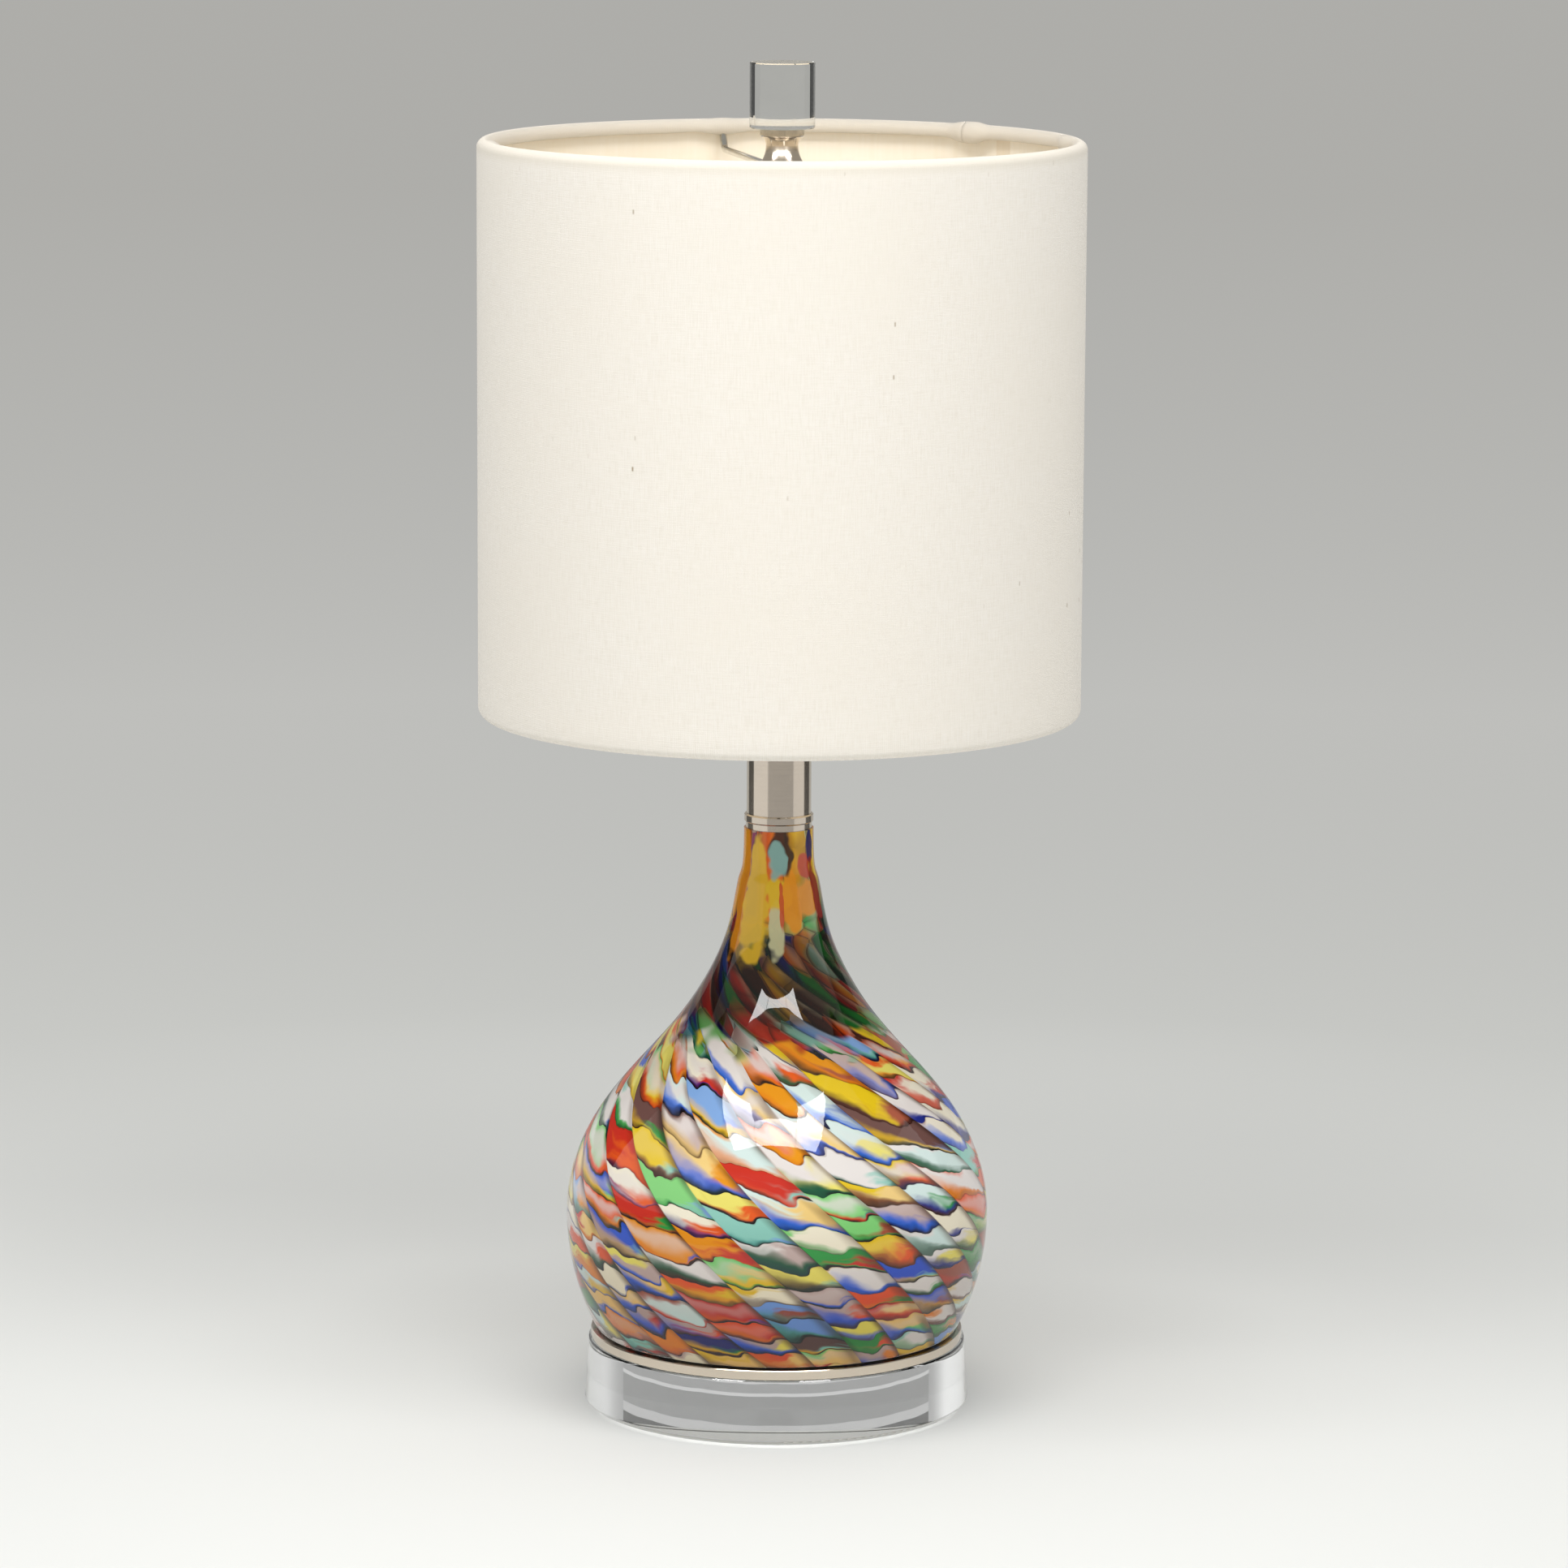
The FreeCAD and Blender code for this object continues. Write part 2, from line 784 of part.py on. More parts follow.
def rotor_solid(radius, margin):
    """Rotor of the turn switch, on the shaft's axis."""
    start = Vector(0, rotor_thickness / 2 + margin, switch_level)
    return Part.makeCylinder(radius, rotor_thickness + 2 * margin, start, Vector(0, -1, 0))


def shaft_end():
    return holder_radius + loose_gap + knob_length - knob_wall


def shaft_solid(radius, start):
    length = shaft_end() - start
    return Part.makeCylinder(radius, length, Vector(0, -start, switch_level), Vector(0, -1, 0))


def switch_rotor():
    return rotor_solid(rotor_radius, 0)


def switch_shaft():
    return shaft_solid(switch_shaft_radius, rotor_thickness / 2)


def knob_start():
    return holder_radius + holder_wall + loose_gap


def switch_knob():
    """Fluted plastic knob on the end of the switch shaft."""
    start = Vector(0, 0, 0)
    knob = Part.makeCone(knob_radius, knob_radius - knob_draft, knob_length, start, UP)
    for index in range(knob_flutes):
        flute = Part.makeCylinder(knob_flute_radius, 2 * knob_length)
        flute.translate(on_circle(knob_radius + knob_flute_radius / 3, index * 360 / knob_flutes, 0))
        knob = knob.cut(flute)
    knob.rotate(CENTRE, Vector(1, 0, 0), 90)
    knob.translate(Vector(0, -knob_start(), switch_level))
    return knob.cut(shaft_solid(switch_shaft_radius, 0))


def screw_shell():
    outer = screw_shell_radius
    return tube(outer, outer - screw_shell_wall, core_top, holder_top)


def contact_level():
    return core_top + contact_thickness


def centre_contact():
    low = Vector(-contact_half_length, -contact_half_width, core_top)
    return block(low, Vector(contact_half_length, contact_half_width, contact_level()))


def terminal_shanks(radius, extra):
    shanks = []
    length = terminal_shank_length + extra
    for side in (-1, 1):
        start = Vector(side * core_flat, 0, switch_level)
        shanks.append(Part.makeCylinder(radius, length, start, Vector(-side, 0, 0)))
    return shanks


def terminal_screws():
    screws = []
    for side, shank in zip((-1, 1), terminal_shanks(terminal_shank_radius, 0)):
        start = Vector(side * core_flat, 0, switch_level)
        direction = Vector(side, 0, 0)
        head = Part.makeCylinder(terminal_head_radius, terminal_head_thickness, start, direction)
        screws.append(head.fuse(shank).removeSplitter())
    return screws


def bulb_bottom():
    return contact_level() + seat_gap


def bulb_cap_bottom():
    return bulb_bottom() + bulb_contact_height + bulb_insulator_height


def bulb_cap_top():
    return bulb_bottom() + bulb_cap_length


def bulb_contact():
    return disc(bulb_contact_radius, bulb_bottom(), bulb_bottom() + bulb_contact_height)


def bulb_insulator():
    low = bulb_bottom() + bulb_contact_height
    return turned([
        (0, low),
        (bulb_insulator_radius, low),
        (bulb_cap_radius - bulb_thread_depth, bulb_cap_bottom()),
        (0, bulb_cap_bottom()),
    ])


def bulb_cap():
    """Metal screw cap, with the thread as rings round it."""
    crest = bulb_cap_radius
    root = crest - bulb_thread_depth
    low = bulb_cap_bottom()
    high = bulb_cap_top()
    pitch = (high - low) / (bulb_thread_count + 2)
    corners = [(0, low), (root, low)]
    for index in range(bulb_thread_count):
        middle = low + pitch * (index + 1)
        corners += [(root, middle - pitch / 3), (crest, middle), (root, middle + pitch / 3)]
    corners += [(root, high), (0, high)]
    return turned(corners)


def bulb_outline(inset):
    """Straight neck, a cone and a round top, all tangent. Returns the edges from neck to top."""
    radius = bulb_radius - inset
    neck = bulb_neck_radius - inset
    centre = bulb_bottom() + bulb_length - bulb_radius
    neck_top = bulb_cap_top() + bulb_neck_length
    depth = centre - neck_top
    distance = math.hypot(neck, depth)
    lean = math.asin(radius / distance)
    bearing = math.atan2(depth, -neck) - lean
    touch_angle = bearing - math.pi / 2
    touch = Vector(radius * math.cos(touch_angle), 0, centre + radius * math.sin(touch_angle))
    side_angle = (touch_angle + math.pi / 2) / 2
    side = Vector(radius * math.cos(side_angle), 0, centre + radius * math.sin(side_angle))
    top = Vector(0, 0, centre + radius)
    start = Vector(neck, 0, bulb_cap_top())
    bend = Vector(neck, 0, neck_top)
    return [line(start, bend), line(bend, touch), arc(touch, side, top)]


def bulb_glass():
    low = Vector(0, 0, bulb_cap_top())
    solids = []
    for inset in (0, bulb_glass_wall):
        edges = bulb_outline(inset)
        top = edges[-1].Vertexes[-1].Point
        start = edges[0].Vertexes[0].Point
        solids.append(turned_edges(edges + [line(top, low), line(low, start)]))
    return solids[0].cut(solids[1])


def spider_hub():
    return tube(hub_radius, hub_hole_radius, hub_bottom, hub_top)


def ring_level():
    return shade_top - roll_radius


def lower_ring_level():
    return shade_bottom + roll_radius


def arm_solids():
    """Rods from the hub, level and then up to the ring inside the top rim."""
    path = rounded_path([
        Vector(hub_radius - arm_radius, 0, arm_level),
        Vector(ring_radius - arm_elbow_inset, 0, arm_level),
        Vector(ring_radius, 0, ring_level()),
    ], [arm_elbow_radius])
    arm = rod(path, arm_radius)
    arm = arm.cut(disc(hub_radius, hub_bottom - arm_radius, hub_top + arm_radius))
    arm = arm.cut(torus(ring_radius, ring_wire_radius, ring_level()))
    arm = max(arm.Solids, key=lambda solid: solid.Volume)
    bearings = [arm_bearing + index * 360 / arm_count for index in range(arm_count)]
    return [turned_to(arm, bearing) for bearing in bearings]


def shade_wall(outer, inner):
    return tube(outer, inner, lower_ring_level(), ring_level())


def rim_roll(level, wall_side, arms):
    """Cloth turned over a wire ring at the edge of the shade."""
    roll = torus(ring_radius, roll_radius, level)
    roll = roll.cut(torus(ring_radius, ring_wire_radius + thread_gap, level))
    far = level + wall_side * 2 * roll_radius
    band = tube(shade_radius + roll_radius, liner_inner_radius, min(level, far), max(level, far))
    roll = roll.cut(band)
    for arm in arms:
        roll = roll.cut(arm)
    return max(roll.Solids, key=lambda solid: solid.Volume)


def finial_base():
    """Turned metal foot of the finial, with a blind thread for the harp's stud."""
    bottom = finial_bottom
    waist = bottom + finial_waist_height
    top = collar_bottom - finial_groove_height
    base_edge = Vector(finial_base_radius, 0, bottom)
    waist_point = Vector(finial_waist_radius, 0, waist)
    flare_edge = Vector(finial_flare_radius, 0, top)
    groove_radius = finial_flare_radius - finial_groove_depth
    bore = stud_radius + running_gap
    bore_top = bottom + finial_thread_depth
    corners = [
        flare_edge,
        Vector(groove_radius, 0, top),
        Vector(groove_radius, 0, collar_bottom),
        Vector(0, 0, collar_bottom),
        Vector(0, 0, bore_top),
        Vector(bore, 0, bore_top),
        Vector(bore, 0, bottom),
        base_edge,
    ]
    lower = waist_arc(base_edge, waist_point)
    upper = waist_arc(flare_edge, waist_point)
    edges = [lower, upper]
    edges += [line(start, end) for start, end in zip(corners, corners[1:])]
    return turned_edges(Part.sortEdges(edges)[0])


def waist_arc(edge, waist):
    """Arc from an edge of the finial's foot to its waist, upright where it meets the waist."""
    out = edge.x - waist.x
    along = edge.z - waist.z
    radius = (out ** 2 + along ** 2) / (2 * out)
    half = math.asin(along / radius) / 2
    middle = Vector(waist.x + radius * (1 - math.cos(half)), 0, waist.z + radius * math.sin(half))
    return arc(edge, middle, waist)


def finial_collar():
    return disc(finial_collar_radius, collar_bottom, cylinder_bottom)


def finial_cylinder():
    top = cylinder_bottom + finial_length
    rim = finial_radius - finial_bevel
    return turned([
        (0, cylinder_bottom),
        (rim, cylinder_bottom),
        (finial_radius, cylinder_bottom + finial_bevel),
        (finial_radius, top - finial_bevel),
        (rim, top),
        (0, top),
    ])


def save_base():
    save("bumper_feet", *bumper_feet())
    save("acrylic_base", acrylic_base())
    save("seat_plate", seat_plate())
    save("pipe_locknut", pipe_locknut())
    save("seat_gasket", seat_gasket())
    save("glass_body", glass_body())
    save("cord_bushing", cord_bushing())
    save("glass_grommet", glass_grommet())


def save_neck():
    save("lamp_pipe", lamp_pipe())
    save("neck_cap", neck_cap())
    save("check_ring", check_ring())
    save("neck_tube", tube(tube_radius, tube_bore_radius, check_ring_top, tube_top))
    save("tube_cap", tube_cap())


def save_harp():
    save("harp_saddle", harp_saddle())
    save("saddle_nut", saddle_nut())
    save("harp_wire", harp_wire())
    save("harp_top_plate", harp_top_plate())
    save("harp_stud", harp_stud())
    save("harp_ferrule_left", harp_ferrule(-1))
    save("harp_ferrule_right", harp_ferrule(1))


def save_holder():
    save("holder_cap", holder_cap())
    save("holder_set_screw", holder_set_screw())
    save("pipe_end_bushing", pipe_end_bushing())
    save("holder_shell", holder_shell())
    save("shell_insulator", shell_insulator())
    save("holder_core", holder_core())
    save("screw_shell", screw_shell())
    save("centre_contact", centre_contact())
    save("terminal_screws", *terminal_screws())
    save("switch_rotor", switch_rotor())
    save("switch_shaft", switch_shaft())
    save("switch_knob", switch_knob())


def save_bulb():
    save("bulb_glass", bulb_glass())
    save("bulb_cap", bulb_cap())
    save("bulb_insulator", bulb_insulator())
    save("bulb_contact", bulb_contact())


def save_shade():
    arms = arm_solids()
    save("spider_hub", spider_hub())
    save("spider_arms", *arms)
    save("shade_top_ring", torus(ring_radius, ring_wire_radius, ring_level()))
    save("shade_bottom_ring", torus(ring_radius, ring_wire_radius, lower_ring_level()))
    save("shade_liner", shade_wall(liner_outer_radius, liner_inner_radius))
    save("shade_cover", shade_wall(shade_radius, liner_outer_radius))
    save("top_rim_roll", rim_roll(ring_level(), -1, arms))
    save("bottom_rim_roll", rim_roll(lower_ring_level(), 1, []))


def save_finial():
    save("finial_base", finial_base())
    save("finial_collar", finial_collar())
    save("finial_cylinder", finial_cylinder())


os.makedirs("parts", exist_ok=True)
save_base()
save_neck()
save_harp()
save_holder()
save_bulb()
save_shade()
save_finial()
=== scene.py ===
"""Looks of a table accent lamp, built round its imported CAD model. Lengths are in metres."""

import json
import math

import bpy
import numpy as np
from mathutils import Euler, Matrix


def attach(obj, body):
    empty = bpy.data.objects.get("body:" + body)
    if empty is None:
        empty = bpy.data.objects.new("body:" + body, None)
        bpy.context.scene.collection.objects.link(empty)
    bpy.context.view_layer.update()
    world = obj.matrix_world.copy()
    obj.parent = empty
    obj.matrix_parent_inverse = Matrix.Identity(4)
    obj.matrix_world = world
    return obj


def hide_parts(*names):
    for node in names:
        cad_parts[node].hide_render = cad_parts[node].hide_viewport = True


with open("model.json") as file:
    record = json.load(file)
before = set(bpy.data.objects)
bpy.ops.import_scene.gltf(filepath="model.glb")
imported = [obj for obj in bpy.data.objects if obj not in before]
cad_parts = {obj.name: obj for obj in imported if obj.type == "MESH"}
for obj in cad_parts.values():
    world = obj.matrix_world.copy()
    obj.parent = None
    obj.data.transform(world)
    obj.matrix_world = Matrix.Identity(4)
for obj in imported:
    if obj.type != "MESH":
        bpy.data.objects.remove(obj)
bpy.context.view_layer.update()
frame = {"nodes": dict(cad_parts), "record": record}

nodes = frame["nodes"]
FULL_TURN = 2 * math.pi

# Camera, solved from the photograph's outlines
image_width = 1932
focal_pixels = 8095.8
sensor_width = 36.0
camera_place = (0.001958, -2.5415, 0.6843)
camera_pitch_down = 0.16986
camera_roll = 0.00505

# Studio
panel_level = 1.5
panel_radiance = 7.8
fill_strength = 0.5
shade_glow_power = 0.085
softbox_level = 0.62
softbox_strength = 13.0
dark_edge = 0.4
card_distance = 0.3
band_distance = 0.31
# Outlines of the softboxes that glass and metal mirror, seen from above
softboxes = {
    "left": [(-0.252, -0.418), (-0.123, -0.412), (-0.120, -0.281), (-0.143, -0.211), (-0.150, -0.100),
             (-0.285, -0.100), (-0.279, -0.167)],
    "middle": [(-0.120, -0.412), (0.100, -0.420), (0.100, -0.288), (-0.118, -0.281)],
    "right": [(0.102, -0.420), (0.231, -0.430), (0.242, -0.262), (0.239, -0.100), (0.110, -0.100),
              (0.103, -0.240)],
}
# Bands of light round the clear base: low and high level, strength
foot_bands = [(0.055, 0.068, 0.42), (0.068, 0.0693, 0.6), (0.0693, 0.0733, 0.36), (0.0733, 0.0748, 0.6),
              (0.0748, 0.0885, 0.31), (0.0885, 0.0925, 0.5), (0.0925, 0.0975, 0.14), (0.0975, 0.13, 0.3)]

# Shade, from the CAD: radii and levels in metres, bearings in degrees
shade_radius = 0.1179
cloth_thickness = 0.0006
roll_radius = 0.0033
ring_radius = 0.1146
top_ring_level = 0.4978
bottom_ring_level = 0.2800
arm_bearings = (12.3, 102.3, 192.3, 282.3)
# How far the top roll's cloth swells and dips at a rod end, and swells at the lap
rod_swell = 0.0017
rod_dip = 0.0006
lap_swell = 0.0036
lap_bearing = 49.0
seam_bearing = 41.0

# Distance between the linen's threads in millimetres, and brush marks in a millimetre of satin metal
thread_pitch = 0.55
brush_lines = 14.0

# Glass: heights of its foot and mouth in millimetres, and ribs round it
glass_low = 31.2
glass_high = 231.4
optic_ribs = 23


def linear(red, green, blue):
    """Colour from 0 to 255 sRGB values."""
    parts = []
    for value in (red, green, blue):
        share = value / 255
        parts.append(share / 12.92 if share <= 0.04045 else ((share + 0.055) / 1.055) ** 2.4)
    return (*parts, 1.0)


class Graph:
    """Short calls that build one material's nodes."""

    def __init__(self, name):
        self.material = bpy.data.materials.new(name)
        self.material.use_nodes = True
        self.tree = self.material.node_tree
        self.shader = self.tree.nodes["Principled BSDF"]
        self.output = self.tree.nodes["Material Output"]

    def feed(self, socket, value):
        if isinstance(value, bpy.types.NodeSocket):
            self.tree.links.new(value, socket)
        else:
            socket.default_value = value

    def node(self, kind, inputs=None, **settings):
        made = self.tree.nodes.new("ShaderNode" + kind)
        for key, value in settings.items():
            setattr(made, key, value)
        for key, value in (inputs or {}).items():
            self.feed(made.inputs[key], value)
        return made

    def set(self, **values):
        """Feeds the shader's sockets; underscores stand for spaces in their names."""
        for key, value in values.items():
            self.feed(self.shader.inputs[key.replace("_", " ")], value)
        return self

    def math(self, operation, *values):
        made = self.node("Math", operation=operation)
        for socket, value in zip(made.inputs, values):
            self.feed(socket, value)
        return made.outputs[0]

    def add(self, first, second):
        return self.math("ADD", first, second)

    def times(self, first, second):
        return self.math("MULTIPLY", first, second)

    def fraction(self, value):
        return self.math("FRACT", value)

    def vector(self, x, y, z):
        return self.node("CombineXYZ", {"X": x, "Y": y, "Z": z}).outputs[0]

    def split(self, vector):
        return self.node("SeparateXYZ", {"Vector": vector}).outputs

    def scaled(self, vector, factors):
        made = self.node("VectorMath", operation="MULTIPLY")
        self.feed(made.inputs[0], vector)
        self.feed(made.inputs[1], factors)
        return made.outputs[0]

    def minus(self, first, second):
        made = self.node("VectorMath", operation="SUBTRACT")
        self.feed(made.inputs[0], first)
        self.feed(made.inputs[1], second)
        return made.outputs[0]

    def unit(self, vector):
        made = self.node("VectorMath", operation="NORMALIZE")
        self.feed(made.inputs[0], vector)
        return made.outputs[0]

    def dot(self, first, second):
        made = self.node("VectorMath", operation="DOT_PRODUCT")
        self.feed(made.inputs[0], first)
        self.feed(made.inputs[1], second)
        return made.outputs["Value"]

    def place(self):
        """Position on the piece at rest, in millimetres."""
        coordinates = self.node("TexCoord").outputs["Object"]
        return self.scaled(coordinates, (1000.0, 1000.0, 1000.0))

    def noise(self, vector, scale=1.0, detail=2.0):
        made = self.node("TexNoise", {"Vector": vector, "Scale": scale, "Detail": detail})
        return made.outputs["Fac"]

    def voronoi(self, vector, feature="F1"):
        return self.node("TexVoronoi", {"Vector": vector, "Scale": 1.0}, feature=feature)

    def white(self, vector):
        """Random number and colour, the same at every point that has the same vector."""
        return self.node("TexWhiteNoise", {"Vector": vector})

    def range(self, value, low, high, to_low=0.0, to_high=1.0, smooth=True):
        """Value between low and high, mapped to between to_low and to_high and held there outside."""
        kind = "SMOOTHSTEP" if smooth else "LINEAR"
        made = self.node("MapRange", {"Value": value, "From Min": low, "From Max": high,
                                      "To Min": to_low, "To Max": to_high}, interpolation_type=kind)
        return made.outputs["Result"]

    def mix(self, share, first, second, blend="MIX"):
        """Colour mix."""
        made = self.node("Mix", data_type="RGBA", blend_type=blend)
        self.feed(made.inputs[0], share)
        self.feed(made.inputs[6], first)
        self.feed(made.inputs[7], second)
        return made.outputs[2]

    def ramp(self, value, stops, steps=False):
        """Colour ramp from (place, colour) stops."""
        made = self.node("ValToRGB", {"Fac": value})
        ramp = made.color_ramp
        ramp.interpolation = "CONSTANT" if steps else "LINEAR"
        while len(ramp.elements) < len(stops):
            ramp.elements.new(1.0)
        for element, (place, colour) in zip(ramp.elements, stops):
            element.position = place
            element.color = colour
        return made.outputs["Color"]

    def curve(self, value, points):
        """Smooth curve through (value, result) points, both from 0 to 1."""
        made = self.node("FloatCurve", {"Value": value})
        line = made.mapping.curves[0]
        for point in points[1:-1]:
            line.points.new(*point)
        line.points[0].location = points[0]
        line.points[-1].location = points[-1]
        made.mapping.update()
        return made.outputs["Value"]

    def bump(self, height, distance, strength):
        inputs = {"Height": height, "Distance": distance, "Strength": strength}
        return self.node("Bump", inputs).outputs["Normal"]


# Glass pattern

def glass_flow():
    """Heights up the glass, and the flow at each: the distance down its outline from the mouth."""
    mesh = nodes["glass_body"].data
    points = np.array([vertex.co[:] for vertex in mesh.vertices]) * 1000
    radii = np.hypot(points[:, 0], points[:, 1])
    found = []
    for low in np.arange(glass_low, glass_high, 4):
        inside = np.flatnonzero((points[:, 2] >= low) & (points[:, 2] <= low + 4))
        if len(inside):
            widest = inside[radii[inside].argmax()]
            found.append((points[widest, 2], radii[widest]))
    heights = np.linspace(glass_low, glass_high, 201)
    outline = np.interp(heights, *zip(*sorted(found)))
    steps = np.hypot(np.diff(outline), np.diff(heights))
    below = np.concatenate([[0], np.cumsum(steps)])
    return heights, below[-1] - below


def eased(value, low, high):
    """Smooth step from 0 at low to 1 at high."""
    share = np.clip((value - low) / (high - low), 0, 1)
    return share * share * (3 - 2 * share)


def rib_rate(flow):
    """Twist of the optic ribs in radians for each millimetre of flow."""
    start = 0.040 * eased(flow, 40, 58) * (1 - eased(flow, 72, 100))
    return start + 0.0128 * eased(flow, 72, 100)


def band_rate(flow):
    """Twist of the shoulder's chips in radians for each millimetre of flow."""
    return 0.035 * eased(flow, 38, 56)


def chip_rate(flow):
    """Steps along the shoulder chips' texture for each millimetre of flow."""
    return 0.024 + 0.046 * eased(flow, 40, 60)


def row_rate(flow):
    """Rows of belly chips for each millimetre of flow."""
    return 0.110 + 0.034 * eased(flow, 130, 158) + 0.034 * eased(flow, 165, 195)


def twist(rate, flow):
    """Rate summed up from the mouth downwards."""
    order = np.argsort(flow)
    values = rate(flow[order])
    total = np.concatenate([[0], np.cumsum((values[1:] + values[:-1]) / 2 * np.diff(flow[order]))])
    result = np.empty_like(total)
    result[order] = total
    return result


def height_curve(graph, share, heights, values, count=40):
    """Curve node that gives values at a height share, with its largest value as scale."""
    top = values.max()
    picks = np.linspace(glass_low, glass_high, count)
    results = np.interp(picks, heights, values) / top
    shares = (picks - glass_low) / (glass_high - glass_low)
    return graph.times(graph.curve(share, list(zip(shares, results))), float(top))


belly_palette = [
    (0.13, (232, 226, 222)), (0.05, (242, 234, 212)), (0.05, (214, 232, 228)),
    (0.02, (200, 178, 172)), (0.06, (240, 206, 130)), (0.07, (236, 224, 110)),
    (0.08, (230, 196, 30)), (0.06, (232, 150, 14)), (0.10, (230, 92, 24)),
    (0.06, (204, 46, 28)), (0.03, (170, 86, 60)), (0.07, (132, 208, 122)),
    (0.055, (40, 156, 66)), (0.055, (146, 204, 190)), (0.05, (130, 170, 224)),
    (0.06, (40, 88, 204)), (0.02, (24, 30, 130)), (0.02, (110, 76, 70)),
]
deep_palette = [
    (0.11, (20, 92, 60)), (0.08, (28, 40, 140)), (0.13, (44, 104, 214)),
    (0.07, (80, 42, 34)), (0.08, (126, 70, 36)), (0.14, (226, 128, 14)),
    (0.13, (214, 62, 24)), (0.11, (60, 160, 72)), (0.05, (84, 160, 150)),
    (0.11, (232, 186, 20)),
]
dark_palette = [
    (0.36, (30, 20, 18)), (0.26, (12, 36, 30)), (0.12, (14, 16, 66)), (0.26, (70, 32, 18)),
]
shoulder_palette = [
    (0.05, (206, 196, 186)), (0.05, (232, 150, 24)), (0.06, (220, 166, 20)),
    (0.08, (206, 50, 32)), (0.12, (132, 30, 24)), (0.17, (24, 134, 46)),
    (0.12, (8, 66, 30)), (0.05, (100, 190, 104)), (0.15, (12, 18, 124)),
    (0.04, (32, 74, 186)), (0.11, (70, 32, 22)),
]
neck_palette = [
    (0.30, (230, 190, 36)), (0.22, (222, 150, 14)), (0.14, (230, 118, 22)),
    (0.08, (214, 204, 110)), (0.06, (150, 190, 176)), (0.05, (32, 36, 96)),
    (0.07, (196, 56, 44)), (0.08, (60, 34, 22)),
]


def palette_stops(palette):
    """Stops of a stepped ramp that gives each colour its share."""
    total = sum(share for share, _ in palette)
    stops = []
    place = 0.0
    for share, colour in palette:
        stops.append((place, linear(*colour)))
        place += share / total
    return stops


def polar(graph, angle, radius, along):
    """Point on a cylinder that is sampled by a solid texture."""
    x = graph.times(graph.math("COSINE", angle), radius)
    y = graph.times(graph.math("SINE", angle), radius)
    return graph.vector(x, y, along)


# Radius of the shoulder chips' texture, as a share of its largest, down the flow
chip_reach = [(0.0, 0.36), (0.14, 0.40), (0.22, 0.9), (0.38, 1.0), (0.5, 0.8), (1.0, 0.8)]
chip_reach_top = 4.6
shoulder_turn = 2.6


def shoulder_colour(graph, angle, flow, bands, along):
    """Long chips lying along the twist, from the mouth down to the first ribs."""
    band_angle = graph.math("SUBTRACT", graph.add(angle, shoulder_turn), bands)
    warp = graph.noise(polar(graph, band_angle, 2.0, graph.times(flow, 0.03)), detail=1.0)
    band_angle = graph.add(band_angle, graph.range(warp, 0.2, 0.8, -0.08, 0.08, smooth=False))
    reach = graph.times(graph.curve(graph.range(flow, 0.0, 222.0, smooth=False), chip_reach), chip_reach_top)
    domain = polar(graph, band_angle, reach, along)
    across = polar(graph, graph.add(band_angle, math.pi / 2), 1.0, 0.0)
    near = graph.voronoi(domain).outputs
    following = graph.voronoi(domain, "F2").outputs
    gap = graph.math("SUBTRACT", following["Distance"], near["Distance"])
    side = graph.dot(graph.unit(graph.minus(following["Position"], near["Position"])), across)
    chips = []
    for cell in (near, following):
        pick = graph.split(cell["Color"])
        offset = graph.dot(graph.minus(domain, cell["Position"]), across)
        zone = graph.add(graph.split(cell["Position"])[2], graph.range(pick[2], 0.0, 1.0, -0.4, 0.4))
        colour = graph.mix(graph.math("GREATER_THAN", zone, 0.85),
                           graph.ramp(pick[0], palette_stops(neck_palette), steps=True),
                           graph.ramp(pick[0], palette_stops(shoulder_palette), steps=True))
        colour = graph.mix(graph.math("GREATER_THAN", zone, 3.2), colour,
                           graph.ramp(pick[0], palette_stops(belly_palette), steps=True))
        pale = graph.times(graph.range(offset, 0.0, 0.5, 0.0, 0.5), graph.range(pick[1], 0.5, 0.8))
        colour = graph.mix(pale, colour, linear(226, 216, 190))
        deep = graph.range(offset, 0.0, -0.5, 0.0, 0.8)
        chips.append(graph.mix(deep, colour, graph.mix(1.0, colour, colour, "MULTIPLY")))
    first, second = chips
    softness = graph.range(graph.math("ABSOLUTE", side), 0.2, 0.9, 0.45, 0.2)
    own = graph.range(graph.math("DIVIDE", gap, softness), 0.0, 1.0, 0.5, 1.0)
    colour = graph.mix(own, second, first)
    edge = graph.times(graph.range(gap, 0.26, 0.0), graph.range(side, 0.3, -0.6, 0.15, 0.85))
    colour = graph.mix(edge, colour, graph.mix(0.9, colour, linear(70, 48, 36), "MULTIPLY"))
    dim = graph.times(graph.range(flow, 34.0, 44.0), graph.range(flow, 104.0, 66.0))
    return graph.mix(graph.times(dim, 0.8), colour, graph.mix(1.0, colour, linear(120, 106, 88), "MULTIPLY"))


# Lift of the chips by one optic rib, from its line across the cell to the next line
rib_lift = [(0.0, 0.02), (0.1, 0.0), (0.22, 0.05), (0.36, 0.2), (0.5, 0.42), (0.65, 0.68),
            (0.8, 0.9), (0.92, 1.0), (1.0, 0.98)]
# Share of a chip's height that is shaded along its lower edge, across the rib cell
shade_reach = [(0.0, 0.7), (0.12, 0.95), (0.3, 0.85), (0.5, 0.5), (0.7, 0.28), (0.88, 0.35), (1.0, 0.7)]
chip_rows = 24
lens_depth = 0.12


